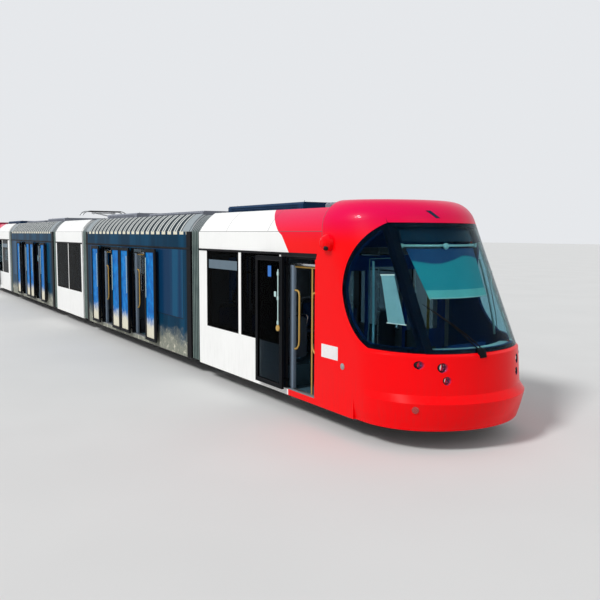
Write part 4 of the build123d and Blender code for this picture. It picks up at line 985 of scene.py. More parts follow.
def cushion(form, place, ways, size, crown, rows=10):
    """Crowned pad; ways are its length, width and thickness directions, size its measures."""
    long_way, wide_way, up_way = ways
    length, width, thick = size
    top, bottom = [], []
    for u in steps(-1, 1, rows):
        top_row, bottom_row = [], []
        for v in steps(-1, 1, rows):
            pull_u = 1 - 0.045 * (1 - v * v)
            pull_v = 1 - 0.045 * (1 - u * u)
            rise = (1 - u ** 6) ** 0.45 * (1 - v ** 6) ** 0.45
            seam = 0.005 * max(0.0, 1 - abs(abs(v) - 0.62) / 0.07) * rise
            flat = place + long_way * (u * length / 2 * pull_v) + wide_way * (v * width / 2 * pull_u)
            lift = thick * 0.45 * rise + crown * rise * (1 - u * u) * (1 - v * v) - seam
            top_row.append(flat + up_way * lift)
            bottom_row.append(flat - up_way * (thick * 0.5 * rise ** 0.5))
        top.append(top_row)
        bottom.append(bottom_row)
    near = [[form.mesh.verts.new(p) for p in row] for row in top]
    far = []
    for i, row in enumerate(bottom):
        far.append([near[i][j] if i in (0, rows) or j in (0, rows) else form.mesh.verts.new(p)
                    for j, p in enumerate(row)])
    for i in range(rows):
        for j in range(rows):
            form.mesh.faces.new((near[i][j], near[i + 1][j], near[i + 1][j + 1], near[i][j + 1]))
            form.mesh.faces.new((far[i][j], far[i][j + 1], far[i + 1][j + 1], far[i + 1][j]))


def seat_cushions(form, x, facing, y, pan_z):
    """Pad of the seat and pad of its back."""
    ahead, side, up = Vector((facing, 0, 0)), Vector((0, 1, 0)), Vector((0, 0, 1))
    cushion(form, Vector((x + facing * 0.245, y, pan_z - 0.045)), (ahead, side, up), (0.345, 0.40, 0.062),
            0.012)
    lean = Vector((facing * 0.035, 0, 1)).normalized()
    face = side.cross(lean) * facing
    cushion(form, Vector((x + facing * 0.060, y, pan_z + 0.295)), (lean, side, face), (0.50, 0.40, 0.050),
            0.010)


def seat_rail(form, x, facing, y, pan_z):
    """Grab handle over the back, on the aisle side."""
    side = -math.copysign(1.0, y)
    form.tube([Vector((x + facing * ahead, y + side * across, pan_z + up)) for ahead, across, up in (
        (0.02, 0.19, 0.46), (-0.012, 0.20, 0.60), (-0.012, 0.17, 0.645), (-0.012, -0.02, 0.655),
        (-0.012, -0.05, 0.63), (0.01, -0.05, 0.57))], 0.011, 8)


def grab_pole(form, x, y):
    """Upright pole from floor to ceiling, with a flange at each end."""
    form.tube([(x, y, FLOOR_Z), (x, y, CEILING_Z)], POLE_RADIUS, 14)
    for z, way in ((FLOOR_Z, 1), (CEILING_Z, -1)):
        form.lathe([(0.0, 0.038), (way * 0.006, 0.038), (way * 0.016, 0.024), (way * 0.05, 0.021)], (x, y, z),
                   (0, 0, 1), 16)


def add_seats():
    """Seats, their cushions and handles, and the grab poles of every section."""
    over_cab_wheels = [(CAB_BOGIE_X + offset, facing) for offset, facing in BOGIE_ROWS]
    for section, rows, pan_z, foot_z, pole_x in (
            ("cab", over_cab_wheels, BOX_PAN_Z, BOX_TOP_Z, (CAB_DOOR_X[0] - 0.060, CAB_DOOR_X[1] + 0.015)),
            ("hung", HUNG_SEATS, LOW_PAN_Z, FLOOR_Z, HUNG_DOOR_X[0] + HUNG_DOOR_X[1]),
            ("centre", BOGIE_ROWS, BOX_PAN_Z, BOX_TOP_Z, (CENTRE_END - 0.230, 0.230 - CENTRE_END))):
        shells, cushions, rails, poles = Form(), Form(), Form(), Form()
        for x, facing in rows:
            for y in (SEAT_Y, -SEAT_Y):
                seat_shell(shells, x, facing, y, pan_z, foot_z)
                seat_cushions(cushions, x, facing, y, pan_z)
                seat_rail(rails, x, facing, y, pan_z)
        for x in pole_x:
            for y in (POLE_Y, -POLE_Y):
                grab_pole(poles, x, y)
        show_section(shells, section, "seat_shells", SEAT_SHELL, replaces="seats")
        for piece in show_section(cushions, section, "seat_cushions", SEAT_FABRIC, 80):
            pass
        show_section(rails, section, "seat_handles", HANDRAIL)
        show_section(poles, section, "grab_poles", HANDRAIL)


# Driver's place

DRIVER_X = CAB_TIP - 1.540


def add_driver_seat():
    """Driver's seat on its pedestal, with armrests and pads."""
    frame_form, pads = Form(), Form()
    x = DRIVER_X
    frame_form.block((x - 0.01, -0.235, 0.815), (x + 0.45, 0.235, 0.842), 0.01)
    frame_form.block((x - 0.085, -0.215, 0.87), (x - 0.055, 0.215, 1.44), 0.014)
    frame_form.lathe([(0, 0.21), (0.02, 0.21), (0.045, 0.10), (0.12, 0.062), (0.44, 0.058)],
                     (x + 0.23, 0, FLOOR_Z), (0, 0, 1), 28)
    for side in (-1, 1):
        frame_form.tube([(x - 0.05, side * 0.262, 1.10), (x + 0.06, side * 0.268, 1.115),
                         (x + 0.26, side * 0.268, 1.10)], [0.020, 0.028, 0.024], 12)
        frame_form.tube([(x - 0.06, side * 0.23, 1.08), (x - 0.05, side * 0.262, 1.10)], 0.014, 8)
    ahead, side, up = Vector((1, 0, 0)), Vector((0, 1, 0)), Vector((0, 0, 1))
    cushion(pads, Vector((x + 0.225, 0, 0.872)), (ahead, side, up), (0.45, 0.47, 0.085), 0.016, 14)
    cushion(pads, Vector((x - 0.030, 0, 1.16)), (up, side, ahead), (0.56, 0.44, 0.075), 0.016, 14)
    cushion(pads, Vector((x - 0.030, 0, 1.505)), (up, side, ahead), (0.13, 0.26, 0.070), 0.010, 10)
    show(frame_form, "driver_seat_frame", "cab", BLACK_PLASTIC, replaces="cab_{}_seats")
    for piece in show(pads, "driver_seat_pads", "cab", DRIVER_FABRIC, 80):
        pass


def add_desk_gear():
    """Hood, screens, controls and the pale ledge under the windscreen."""
    hood, screens, controls = Form(), Form(), Form()
    x = CAB_TIP - 0.660
    hood.sheet([[Vector((x - 0.03, y, 1.2155)), Vector((x, y, 1.345)), Vector((x + 0.09, y, 1.362)),
                 Vector((x + 0.085, y, 1.2155))] for y in steps(-0.36, 0.36, 8)], 0.012, (0, 0, -0.3))
    for y in (-0.235, 0.0, 0.235):
        turn = Matrix.Rotation(math.radians(-14), 3, "Y")
        screens.block((x - 0.043, y - 0.105, 1.232), (x - 0.029, y + 0.105, 1.334), 0.004, turn=turn)
    height = 0.11
    for y in (-0.42, 0.42):
        controls.lathe([(0, 0.045), (0.02, 0.043), (0.03, 0.018), (height, 0.014), (height + 0.01, 0.026),
                        (height + 0.05, 0.028), (height + 0.062, 0.012)],
                       (x - 0.10, y, 1.165), (-0.2, 0, 1), 20)
    for row in range(3):
        for column in range(8):
            controls.lathe([(0, 0.011), (0.008, 0.011), (0.012, 0.008)],
                           (CAB_TIP - 0.805 - row * 0.035, -0.13 + column * 0.037, 1.2515 - row * 0.0061),
                           (-0.17, 0, 1), 10)
    show(hood, "instrument_hood", "cab", DESK)
    show(screens, "instrument_screens", "cab", DARK_SCREEN)
    show(controls, "driver_controls", "cab", BLACK_PLASTIC)
    ledge = Form()
    rows = [[skin(y, z, -depth) for y in steps(-0.775, 0.775, 20)]
            for depth, z in ((0.030, 1.338), (0.110, 1.352), (0.210, 1.346))]
    ledge.sheet(rows, 0.010, (0, 0, -1))
    for side in (-1, 1):
        flank = []
        for depth in (0.030, 0.078):
            flank.append([skin(side * 0.785, z, 0.0) - Vector((depth, 0, 0))
                          for z in steps(1.350, 2.745, 12)])
        ledge.sheet(flank, 0.006, (0, side, 0))
    show(ledge, "windscreen_ledge", "cab", PALE_TRIM)


def add_blinds():
    """Roller blind behind the windscreen with its rails, a blank route display and a small camera."""
    cloth = Form()
    rows = []
    for z in steps(2.000, 2.660, 6):
        half = 0.605 + 0.10 * (z - 2.000) / 0.60
        rows.append([skin(y, z, -0.125) for y in steps(-half, half, 14)])
    cloth.sheet(rows, 0.003, (-1, 0, 0))
    for piece in show(cloth, "windscreen_blind", "cab", BLIND_CLOTH, 60):
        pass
    rails = Form()
    rails.tube([skin(y, 2.700, -0.115) for y in steps(-0.76, 0.76, 16)], 0.018, 12)
    rails.tube([skin(y, 1.996, -0.125) for y in steps(-0.605, 0.605, 14)], 0.009, 8)
    for y in (-0.79, 0.79):
        at = skin(y, 2.70, -0.14)
        rails.block(at - Vector((0.05, 0.02, 0.03)), at + Vector((0.07, 0.02, 0.03)))
    show(rails, "blind_rails", "cab", PALE_TRIM)
    sign = Form()
    rows = [[skin(y, z, -0.085) for y in steps(-0.74, 0.74, 14)] for z in (2.755, 2.965)]
    sign.sheet(rows, 0.05, (-1, 0, 0))
    show(sign, "blank_route_display", "cab", DARK_SCREEN)
    knob = Form()
    knob.lathe([(0, 0.0), (0.0, 0.038), (0.012, 0.047), (0.030, 0.043), (0.046, 0.024), (0.052, 0.0)],
               skin(-0.100, 2.692, -0.092), (1, 0, 0.1), 24)
    show(knob, "windscreen_camera", "cab", PALE_TRIM)


# Windscreen and nose fittings


def add_wipers():
    """Single arm on its spindle block, parked slantwise with the blade along it."""
    arms, blades = Form(), Form()
    foot, elbow = skin(-0.152, 1.345, 0.026), skin(-0.483, 1.701, 0.030)
    arms.block(skin(-0.205, 1.30, 0.004) - Vector((0.012, 0, 0.062)),
               skin(-0.090, 1.30, 0.004) + Vector((0.034, 0, 0.062)), 0.014,
               turn=Matrix.Rotation(math.radians(-18), 3, "Y"))
    arms.lathe([(0, 0.038), (0.03, 0.038), (0.042, 0.028), (0.05, 0.01)],
               skin(-0.150, 1.335, 0.012) - Vector((0.02, 0, 0)), (1, 0, 0.48), 20)
    for shift in (-0.014, 0.014):
        way = Vector((0, shift, shift))
        arms.tube([foot + way, (foot + elbow) / 2 + way + Vector((0.012, 0, 0.006)), elbow + way * 0.4],
                  [0.010, 0.008, 0.006], 8)
    line = [skin(-0.483 + reach * 0.72, 1.701 - reach * 0.66, 0.010)
            for reach in (-0.36, -0.18, 0.0, 0.15, 0.30)]
    blades.tube(line, [0.004, 0.010, 0.012, 0.010, 0.004], 8)
    show(arms, "wiper_arms", "cab", DOOR_FRAME)
    show(blades, "wiper_blade", "cab", RUBBER)


def add_windscreen_border():
    """Black border behind the glass, all round."""
    half, low, high = 0.853, 1.309, 3.016
    around = [(y, low) for y in steps(-half, half, 24)] + [(half, z) for z in steps(low, high, 14)[1:]]
    around += [(y, high) for y in steps(half, -half, 24)[1:]] + [(-half, z)
                                                                 for z in steps(high, low, 14)[1:-1]]
    border = Form()
    count = len(around)
    outer = [skin(y, z, -0.016) for y, z in around]
    inner = []
    for y, z in around:
        inner_y = max(-half + 0.075, min(half - 0.075, y))
        inner_z = max(low + 0.026, min(high - 0.045, z))
        inner.append(skin(inner_y, inner_z, -0.016))
    a = [border.mesh.verts.new(p) for p in outer]
    b = [border.mesh.verts.new(p) for p in inner]
    c = [border.mesh.verts.new(p + Vector((-0.004, 0, 0))) for p in outer]
    d = [border.mesh.verts.new(p + Vector((-0.004, 0, 0))) for p in inner]
    made = []
    for i in range(count):
        j = (i + 1) % count
        for one, two in ((a, b), (b, d), (d, c), (c, a)):
            made.append(border.mesh.faces.new((one[i], one[j], two[j], two[i])))
    bmesh.ops.recalc_face_normals(border.mesh, faces=made)
    show(border, "windscreen_border", "cab", FRIT)


LAMPS = ((0.955, 1.168, 0.054), (0.708, 1.136, 0.064), (0.663, 0.968, 0.054))


def add_lamps():
    """Reflector bowl and bezel in each well of the apron."""
    bowls, bezels = Form(), Form()
    for y, z, radius in LAMPS:
        for side in (-1, 1):
            front = skin(side * y, z)
            lens = skin(side * y, z, -0.034)
            out = (skin(side * y, z, 0.1) - front).normalized()
            bezels.lathe([(-0.030, radius * 0.99), (-0.004, radius * 0.99), (-0.002, radius * 0.90),
                          (-0.008, radius * 0.80),
                          (-0.028, radius * 0.74)], lens + out * 0.008, (1, 0, 0), 28)
            bowls.lathe([(0.0, radius * 0.20), (0.004, radius * 0.42), (0.012, radius * 0.60),
                         (0.022, radius * 0.72)],
                        lens - Vector((0.026, 0, 0)), (1, 0, 0), 28)
    show(bezels, "lamp_bezels", "cab", BLACK_PLASTIC)
    show(bowls, "lamp_reflectors", "cab", CHROME)
    marks = Form()
    for side in (-1, 1):
        at = skin(side * 1.034, 0.594)
        out = (skin(side * 1.034, 0.594, 0.1) - at).normalized()
        marks.lathe([(-0.006, 0.046), (0.008, 0.046), (0.014, 0.040), (0.018, 0.0)], at, out, 24)
    show(marks, "bumper_marker_lamps", "cab", RED_LENS)
    slit = Form()
    rows = []
    for t in steps(0, 1, 4):
        rows.append([skin(-0.267 + 0.125 * t + s * 0.035, 3.190 - 0.105 * t, 0.004) for s in (-1, 1)])
    slit.sheet(rows, 0.006, (-1, 0, 0))
    show(slit, "brow_marker_lamp", "cab", DARK_SCREEN)


# Doors, inside rails and signs

LEAF_Y = -(HALF_WIDTH + 0.083)
LEAF_HALF = 0.021
LEAF_OVERLAP = 0.090
CAB_LEAF_WIDTH, HUNG_LEAF_WIDTH = 0.856, 0.646
CAB_LEAF = (CAB_DOOR_X[0] + LEAF_OVERLAP - CAB_LEAF_WIDTH, CAB_DOOR_X[0] + LEAF_OVERLAP)
HUNG_LEAVES = [leaf for low, high in HUNG_DOOR_X
               for leaf in ((low + LEAF_OVERLAP - HUNG_LEAF_WIDTH, low + LEAF_OVERLAP),
                            (high - LEAF_OVERLAP, high - LEAF_OVERLAP + HUNG_LEAF_WIDTH))]
TRIM_DEPTH = 0.045
RAIL_REACH = 0.150


def frame_band(form, x, z, y, width, proud, bevel=0.003):
    """Rectangular rubber or trim frame on a wall, standing proud of y on the side that y is on."""
    far = y + math.copysign(1.0, y) * proud
    for low_x, high_x, low_z, high_z in ((x[0], x[1], z[1] - width, z[1]), (x[0], x[1], z[0], z[0] + width),
                                         (x[0], x[0] + width, z[0] + width, z[1] - width),
                                         (x[1] - width, x[1], z[0] + width, z[1] - width)):
        form.block((low_x, y, low_z), (high_x, far, high_z), bevel, 1)


def leaf_fittings(rubber, leaf, jamb_first):
    """Seals all round an open leaf's pane, and its nosing rubber."""
    low, high = leaf
    for y in (LEAF_Y - LEAF_HALF, LEAF_Y + LEAF_HALF):
        frame_band(rubber, (low + 0.058, high - 0.058), (DOOR_SILL_Z + 0.058, DOOR_TOP_Z - 0.058),
                   y, 0.016, 0.004 * math.copysign(1, y - LEAF_Y) * math.copysign(1, y), 0.0015)
    nose = low if jamb_first else high
    rubber.tube([(nose, LEAF_Y, DOOR_SILL_Z + 0.02), (nose, LEAF_Y, DOOR_TOP_Z - 0.02)], 0.014, 8)


def add_leaf_gear():
    """Seals and pull bars on the open leaves, with the cab leaf's button and blank sticker."""
    outer = LEAF_Y - LEAF_HALF
    rubber, bars, button, sticker = Form(), Form(), Form(), Form()
    leaf_fittings(rubber, CAB_LEAF, True)
    front = CAB_LEAF[1]
    bars.block((front - 0.118, outer - 0.014, 1.380), (front - 0.098, outer - 0.001, 2.300), 0.004)
    for z in (1.45, 1.84, 2.23):
        bars.block((front - 0.130, outer - 0.020, z - 0.03), (front - 0.086, outer - 0.001, z + 0.03), 0.006)
    bars.block((front - 0.215, outer - 0.020, 1.860), (front - 0.160, outer - 0.001, 1.945), 0.008)
    button.lathe([(0, 0.052), (0.010, 0.052), (0.020, 0.045), (0.022, 0.0)], (front - 0.110, outer, 1.365),
                 (0, -1, 0), 24)
    sticker.block((front - 0.440, outer - 0.0012, 2.170), (front - 0.335, outer - 0.0002, 2.345), 0.0, 1)
    show(rubber, "cab_leaf_seals", "cab", RUBBER)
    show(bars, "cab_leaf_bars", "cab", PALE_TRIM)
    show(button, "cab_leaf_button", "cab", OCHRE)
    show(sticker, "blank_leaf_sticker", "cab", BLUE_STICKER)
    rubber, bars = Form(), Form()
    for i, leaf in enumerate(HUNG_LEAVES):
        jamb_first = i % 2 == 0
        leaf_fittings(rubber, leaf, jamb_first)
        edge, way = (leaf[1], -1) if jamb_first else (leaf[0], 1)
        bars.block((edge + way * 0.10, outer - 0.014, 1.38), (edge + way * 0.12, outer - 0.001, 2.30), 0.004)
    show(rubber, "hung_leaf_seals", "hung", RUBBER)
    show(bars, "hung_leaf_bars", "hung", PALE_TRIM)


def doorway_trim(form, tread, low, high):
    """Black jamb trim and a ribbed threshold."""
    for side in (-1, 1):
        y = side * (HALF_WIDTH - WALL_DEPTH)
        outer = y + side * TRIM_DEPTH
        for x, way in ((low, 1), (high, -1)):
            form.block((x + way * 0.002, y, DOOR_SILL_Z + 0.004),
                       (x + way * 0.020, outer, DOOR_TOP_Z - 0.004),
                       0.003, 1)
        form.block((low + 0.004, y, DOOR_TOP_Z - 0.026), (high - 0.004, outer, DOOR_TOP_Z - 0.004), 0.003, 1)
        tread.block((low + 0.004, y - side * 0.10, FLOOR_Z + 0.0005),
                    (high - 0.004, y + side * 0.050, FLOOR_Z + 0.010), 0.002, 1)
        for step in range(6):
            at = y - side * (0.085 - step * 0.022)
            tread.block((low + 0.02, at - 0.004, FLOOR_Z + 0.009),
                        (high - 0.02, at + 0.004, FLOOR_Z + 0.0135),
                        0.001, 1)


def grab_rail(form, x, way, side):
    """Bent rail beside a doorway, standing out from its jamb."""
    root_y, y = side * (HALF_WIDTH - 0.110), side * 1.200
    form.tube([(x, root_y, 1.972), (x + way * 0.010, y, 1.970), (x + way * (RAIL_REACH - 0.045), y, 1.964),
               (x + way * (RAIL_REACH - 0.010), y, 1.935), (x + way * RAIL_REACH, y, 1.880),
               (x + way * RAIL_REACH, y, 1.180), (x + way * (RAIL_REACH - 0.015), y, 1.105),
               (x + way * (RAIL_REACH - 0.060), y, 1.050), (x + way * 0.010, y, 1.026), (x, root_y, 1.022)],
              0.0150, 12)


def add_doorways():
    """Trim, thresholds and rails of the doorways."""
    for name, doors in (("cab", (CAB_DOOR_X,)), ("hung", HUNG_DOOR_X)):
        trim, tread, rails = Form(), Form(), Form()
        for low, high in doors:
            doorway_trim(trim, tread, low, high)
            for side in (-1, 1):
                for x, way in ((low + 0.095, 1), (high - 0.095, -1)):
                    grab_rail(rails, x, way, side)
                rails.tube([(high - 0.265, side * 1.190, FLOOR_Z + 0.01),
                            (high - 0.265, side * 1.190, 2.345)], 0.0145, 12)
                rails.tube([(low - 0.03, side * 1.195, 2.342), (high + 0.03, side * 1.195, 2.342)], 0.014, 10)
        show(trim, f"{name}_doorway_trim", name, RUBBER)
        show(tread, f"{name}_thresholds", name, BRUSHED)
        show(rails, f"{name}_doorway_rails", name, OCHRE)


WINDOWS = {
    "cab": ((CAB_REAR + 0.365, CAB_REAR + 1.652), (CAB_REAR + 1.766, CAB_REAR + 3.060)),
    "hung": ((HUNG_REAR + 0.330, HUNG_REAR + 1.380), (HUNG_REAR + 2.800, HUNG_REAR + 3.840),
             (HUNG_REAR + 5.290, HUNG_REAR + 7.120)),
    "centre": ((-1.450, -0.040), (0.040, 1.450)),
}


def add_window_trim():
    """Rubber round each pane outside, and a vent rail and inner frame behind it."""
    for section, panes in WINDOWS.items():
        rubber, frames = Form(), Form()
        for low, high in panes:
            for side in (-1, 1):
                frame_band(rubber, (low - 0.006, high + 0.006), (WINDOW_SILL_Z - 0.006, WINDOW_TOP_Z + 0.006),
                           side * HALF_WIDTH, 0.012, 0.0025, 0.001)
                frame_band(frames, (low + 0.040, high - 0.040), (WINDOW_SILL_Z + 0.040, WINDOW_TOP_Z - 0.040),
                           side * (HALF_WIDTH - WALL_DEPTH), 0.022, -0.012, 0.003)
                frames.block((low + 0.046, side * (HALF_WIDTH - 0.040), 2.175),
                             (high - 0.046, side * (HALF_WIDTH - 0.028), 2.200), 0.003, 1)
        show_section(rubber, section, "window_seals", RUBBER)
        show_section(frames, section, "window_frames", BLACK_PLASTIC)
    shade = Form()
    low, high = WINDOWS["cab"][0]
    shade.block((low + 0.085, -(HALF_WIDTH + 0.0012), 2.200), (high - 0.045, -(HALF_WIDTH + 0.0002), 2.365),
                0.0, 1)
    show(shade, "blank_window_panel", "cab", PALE_PANEL)


def add_signs():
    """Blank sign plates and a round door control on the nose's side."""
    plates, control = Form(), Form()
    x = CAB_REAR
    plates.block((x + 4.275, -HALF_WIDTH - 0.0035, 1.060), (x + 4.685, -HALF_WIDTH - 0.0002, 1.255), 0.0012,
                 1)
    control.lathe([(0, 0.046), (0.006, 0.046), (0.010, 0.036), (0.010, 0.026), (0.016, 0.024), (0.018, 0.0)],
                  (x + 4.80, -HALF_WIDTH, 0.997), (0, -1, 0), 24)
    show(plates, "blank_sign_plates", "cab", WHITE_PLATE)
    show(control, "outside_door_control", "cab", BRUSHED)


# Side windows of the cab

QUARTER_LIGHT = ((1.131, 2.521), (1.180, 2.260), (1.220, 1.998), (1.262, 1.665), (1.301, 1.335))
CLEAR_PANE_EDGE = ((0.885, 2.537), (0.887, 2.037), (0.900, 1.330))
POST_LINE = ((1.121, 2.485), (1.165, 2.240), (1.207, 1.994), (1.244, 1.740), (1.276, 1.485), (1.295, 1.335))


def add_side_window_frames():
    """Thin frame lines behind each rounded side window, with its post, and a small blind with its bars and
    tab.
    """
    frames, post, cloth, tabs = Form(), Form(), Form(), Form()
    for side in (-1, 1):
        frames.tube([skin(side * y, z, -0.022) for y, z in QUARTER_LIGHT], 0.0065, 6)
        frames.tube([skin(side * y, z, -0.022) for y, z in CLEAR_PANE_EDGE], 0.0060, 6)
        frames.tube([skin(side * y, 2.521 + (1.131 - y) * 0.065, -0.022) for y in steps(1.131, 0.885, 6)],
                    0.0060, 6)
        post.tube([skin(side * y, z, -0.100) for y, z in POST_LINE], 0.016, 8)
        corners = [Vector((CAB_REAR + x, side * y, z)) for x, y, z in
                   ((5.309, 1.073, 2.309), (5.435, 0.952, 2.312), (5.715, 0.987, 1.669),
                    (5.538, 1.129, 1.685))]
        rows = []
        for t in steps(0, 1, 5):
            near_edge = corners[0].lerp(corners[3], t)
            far_edge = corners[1].lerp(corners[2], t)
            rows.append([near_edge.lerp(far_edge, s) for s in steps(0, 1, 4)])
        cloth.sheet(rows, 0.003, (0, -side, 0))
        tabs.tube([corners[3].lerp(corners[2], -0.08), corners[3].lerp(corners[2], 1.08)], 0.007, 6)
        tabs.tube([corners[0].lerp(corners[1], -0.05), corners[0].lerp(corners[1], 1.05)], 0.009, 6)
        foot = (corners[2] + corners[3]) / 2
        tabs.prism([foot + Vector((-0.02, 0, -0.006)), foot + Vector((0.02, 0, -0.006)),
                    foot + Vector((0, 0, -0.045))],
                   (0, 0.004, 0), 0.001, 1)
    show(frames, "side_window_frames", "cab", FRAME_LINE)
    show(post, "side_window_posts", "cab", PALE_TRIM)
    show(tabs, "side_blind_bars", "cab", PALE_TRIM)
    for piece in show(cloth, "side_window_blinds", "cab", SIDE_BLIND, 60):
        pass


def add_gutters():
    """Black rain strip over the windows and doors."""
    for section, low, high in (("cab", CAB_REAR + 0.004, CAB_DOOR_X[1] + 0.040),
                               ("hung", HUNG_REAR + 0.004, HUNG_FRONT - 0.004),
                               ("centre", -CENTRE_END + 0.004, CENTRE_END - 0.004)):
        strip = Form()
        for side in (-1, 1):
            strip.block((low, side * (HALF_WIDTH + 0.0002), GUTTER_Z[0]),
                        (high, side * (HALF_WIDTH + 0.010), GUTTER_Z[1]), 0.003, 1)
        show_section(strip, section, "gutter_strips", RUBBER)


def add_door_posts():
    """Grey-blue inner posts that the rails are fixed to, with a pale rail over each doorway."""
    for name, doors in (("cab", (CAB_DOOR_X,)), ("hung", HUNG_DOOR_X)):
        post, rail = Form(), Form()
        for low, high in doors:
            for side in (-1, 1):
                outer = side * (HALF_WIDTH - 0.085)
                for x0, x1 in ((low + 0.020, low + 0.125), (high - 0.125, high - 0.020)):
                    post.block((x0, outer, FLOOR_Z + 0.012), (x1, side * (HALF_WIDTH - 0.150), 2.370), 0.010)
                rail.block((low + 0.012, outer, 2.365), (high - 0.015, side * (HALF_WIDTH - 0.125), 2.400),
                           0.006)
        show(post, f"{name}_door_posts", name, DOOR_POST)
        show(rail, f"{name}_door_head_rails", name, HANDRAIL)


ROOF_Z = 2.990
AIR_UNIT_TOP_Z = 3.385
FAN_RADIUS, FAN_PITCH = 0.250, 0.700
FAN_BLADES = 7
LIGHT_Y, LIGHT_HALF_WIDTH = 0.42, 0.055


def fan_rotor(blades, guard, x):
    """Pitched blades round the hub in a fan's well, with two guard rings over them."""
    for turn in range(FAN_BLADES):
        angle = 2 * math.pi * turn / FAN_BLADES
        rows = []
        for r in steps(0.078, FAN_RADIUS - 0.014, 4):
            row = []
            for t in (-1, 0, 1):
                sweep = angle + t * (0.24 + 0.10 * (FAN_RADIUS - r) / FAN_RADIUS)
                row.append(Vector((x + r * math.cos(sweep), r * math.sin(sweep),
                                   AIR_UNIT_TOP_Z - 0.050 + t * 0.012)))
            rows.append(row)
        blades.sheet(rows, 0.003, (0, 0, -1))
    for radius in (0.130, 0.195):
        ring = [(x + radius * math.cos(a), radius * math.sin(a), AIR_UNIT_TOP_Z - 0.007)
                for a in (2 * math.pi * k / 32 for k in range(33))]
        guard.tube(ring, 0.0045, 6)


def add_roof_details():
    """Fans, lifting eyes and cable ducts on the roofs."""
    for name, unit, ducts in (
            ("cab", (CAB_REAR + 0.240, CAB_REAR + 2.950), (CAB_REAR + 0.15, CAB_REAR + 4.05)),
            ("hung", (HUNG_REAR + 0.420, HUNG_REAR + 2.900), (HUNG_REAR + 0.15, HUNG_REAR + 7.35))):
        blades, guard, eyes, duct = Form(), Form(), Form(), Form()
        count = int((unit[1] - unit[0]) / FAN_PITCH)
        first = (unit[0] + unit[1] - (count - 1) * FAN_PITCH) / 2
        for i in range(count):
            fan_rotor(blades, guard, first + i * FAN_PITCH)
        for x in (unit[0] + 0.16, unit[1] - 0.16):
            for side in (-1, 1):
                at = Vector((x, side * 0.66, AIR_UNIT_TOP_Z))
                eyes.block(at - Vector((0.05, 0.035, 0.001)), at + Vector((0.05, 0.035, 0.006)), 0.003)
                loop = [at + Vector((0.022 * math.cos(a), 0, 0.004 + 0.026 * math.sin(a)))
                        for a in steps(0, math.pi, 8)]
                eyes.tube(loop, 0.005, 6)
        for side in (-1, 1):
            for offset in (0.875, 0.925):
                duct.tube([(ducts[0], side * offset, ROOF_Z + 0.024),
                           (ducts[1], side * offset, ROOF_Z + 0.024)], 0.019, 10)
            for x in steps(ducts[0] + 0.15, ducts[1] - 0.15, int((ducts[1] - ducts[0]) / 0.7)):
                duct.block((x - 0.014, side * 0.90 - 0.055, ROOF_Z + 0.001),
                           (x + 0.014, side * 0.90 + 0.055, ROOF_Z + 0.048), 0.004, 1)
        show(blades, f"{name}_fan_blades", name, BLACK_PLASTIC)
        show(guard, f"{name}_fan_guards", name, BRUSHED)
        show(eyes, f"{name}_lifting_eyes", name, BRUSHED)
        show(duct, f"{name}_cable_ducts", name, RUBBER)


def add_ceiling_lights():
    """Two long light panels under each ceiling."""
    for section, low, high in (("cab", CAB_REAR + 0.45, CAB_REAR + 3.95),
                               ("hung", HUNG_REAR + 0.45, HUNG_REAR + 7.05),
                               ("centre", 0.35 - CENTRE_END, CENTRE_END - 0.35)):
        panels = Form()
        for side in (-1, 1):
            panels.block((low, side * LIGHT_Y - LIGHT_HALF_WIDTH, CEILING_Z - 0.022),
                         (high, side * LIGHT_Y + LIGHT_HALF_WIDTH, CEILING_Z - 0.001), 0.008)
        show_section(panels, section, "ceiling_lights", WHITE_PLATE)


def line_the_nose():
    """Dark lining on the nose's faces that look into the cab, over it and round its glass."""
    for end, way in ENDS:
        for face in NODES[f"cab_{end}_nose"].data.polygons:
            at = face.center
            if 2.70 < at.z < 3.20 and face.normal.z < -0.3:
                face.material_index = 1
            if SCREEN_FOOT < at.z < SCREEN_TOP and abs(at.y) < 1.30 and abs(at.x) > NOSE_REAR + 0.02:
                depth = skin(at.y, at.z).x - abs(at.x)
                near_the_tip = abs(at.x) > NOSE_REAR + 0.55
                if face.material_index == 0 and (depth > 0.15 or (near_the_tip and depth > 0.007)):
                    face.material_index = 2 if depth < 0.05 else 1


def add_pod_lenses():
    """Dark lens at the outer end of each camera pod."""
    lens = Form()
    for side in (-1, 1):
        lens.lathe([(-0.030, 0.034), (0.004, 0.034), (0.009, 0.026), (0.012, 0.0)],
                   (CAB_TIP - 1.970, side * (HALF_WIDTH + 0.088), 2.645), (0.45, side * 0.45, -0.8), 24)
    show(lens, "camera_pod_lenses", "cab", BLACK_PLASTIC)


add_bellows()
add_seats()
add_driver_seat()
add_desk_gear()
add_blinds()
add_wipers()
add_windscreen_border()
add_lamps()
add_leaf_gear()
add_doorways()
add_window_trim()
add_signs()
add_side_window_frames()
add_gutters()
add_door_posts()
add_roof_details()
add_ceiling_lights()
line_the_nose()
add_pod_lenses()


# Floor, light and camera

FLOOR_TONE = colour(0.70, 0.70, 0.69)


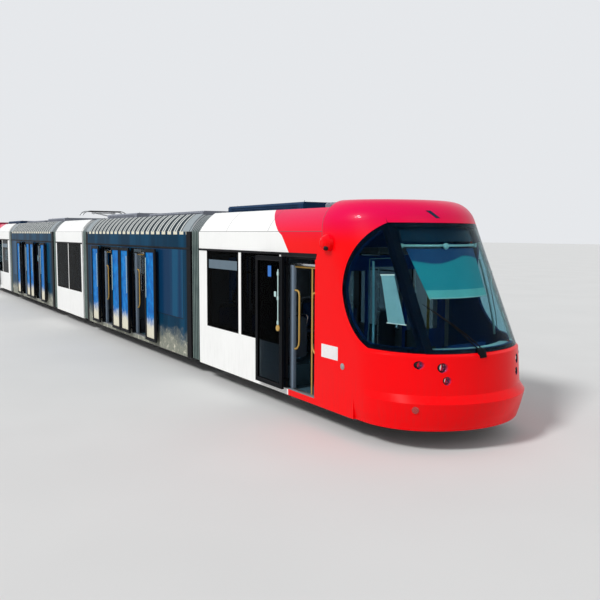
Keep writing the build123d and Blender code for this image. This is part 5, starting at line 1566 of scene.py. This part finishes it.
def studio():
    bpy.ops.mesh.primitive_plane_add(size=400.0, location=(0.0, 0.0, 0.0))
    floor = bpy.context.object
    floor.name = "studio_floor"
    f = Finish("studio_floor", Roughness=0.9)
    tone = f.noise(f.place, 0.4, 2.0, 0.5)
    f.feed(Base_Color=f.mix(f.step(tone, 0.3, 0.7), FLOOR_TONE, colour(0.68, 0.68, 0.67)))
    floor.data.materials.append(f.material)
    world = bpy.data.worlds.new("studio")
    bpy.context.scene.world = world
    world.use_nodes = True
    t = Tree(world.node_tree)
    light_path = t.node("ShaderNodeLightPath").outputs
    seen = t.math("MAXIMUM", light_path["Is Camera Ray"], light_path["Is Glossy Ray"])
    seen = t.math("MAXIMUM", seen, light_path["Is Transmission Ray"])
    background = t.nodes["Background"]
    background.inputs["Color"].default_value = colour(0.93, 0.95, 0.98)
    t.put(background.inputs["Strength"], t.math("ADD", 0.50, t.math("MULTIPLY", seen, 0.35)))
    for name, strength, angle, turn in (("key_light", 2.2, 0.20, (46, 0, 6)),
                                        ("fill_light", 0.25, 0.7, (60, 0, 100))):
        lamp = bpy.data.lights.new(name, "SUN")
        lamp.energy, lamp.angle = strength, angle
        holder = bpy.data.objects.new(name, lamp)
        holder.rotation_euler = [math.radians(v) for v in turn]
        bpy.context.scene.collection.objects.link(holder)


# The photograph's camera, fitted to the rails' gauge and the body's width
CAMERA_PLACE = (22.484, -7.029, 2.851)
CAMERA_YAW = 0.572
CAMERA_PITCH = 0.095
CAMERA_ROLL = -0.005
FOCAL_PIXELS = 690.216
PHOTO_PIXELS = 600
SENSOR = 36.0


def photo_camera():
    data = bpy.data.cameras.new("photo_camera")
    data.sensor_width = SENSOR
    data.lens = FOCAL_PIXELS / PHOTO_PIXELS * SENSOR
    data.clip_start, data.clip_end = 0.1, 500.0
    holder = bpy.data.objects.new("photo_camera", data)
    bpy.context.scene.collection.objects.link(holder)
    level = math.cos(CAMERA_PITCH)
    ahead = Vector((-math.cos(CAMERA_YAW) * level, math.sin(CAMERA_YAW) * level, -math.sin(CAMERA_PITCH)))
    right = ahead.cross(Vector((0.0, 0.0, 1.0))).normalized()
    down = ahead.cross(right)
    turned_right = right * math.cos(CAMERA_ROLL) + down * math.sin(CAMERA_ROLL)
    turned_down = down * math.cos(CAMERA_ROLL) - right * math.sin(CAMERA_ROLL)
    axes = Matrix((turned_right, -turned_down, -ahead)).transposed()
    holder.matrix_world = Matrix.Translation(CAMERA_PLACE) @ axes.to_4x4()
    bpy.context.scene.camera = holder


studio()
photo_camera()
bpy.context.scene.view_settings.view_transform = "Standard"

bpy.context.view_layer.update()
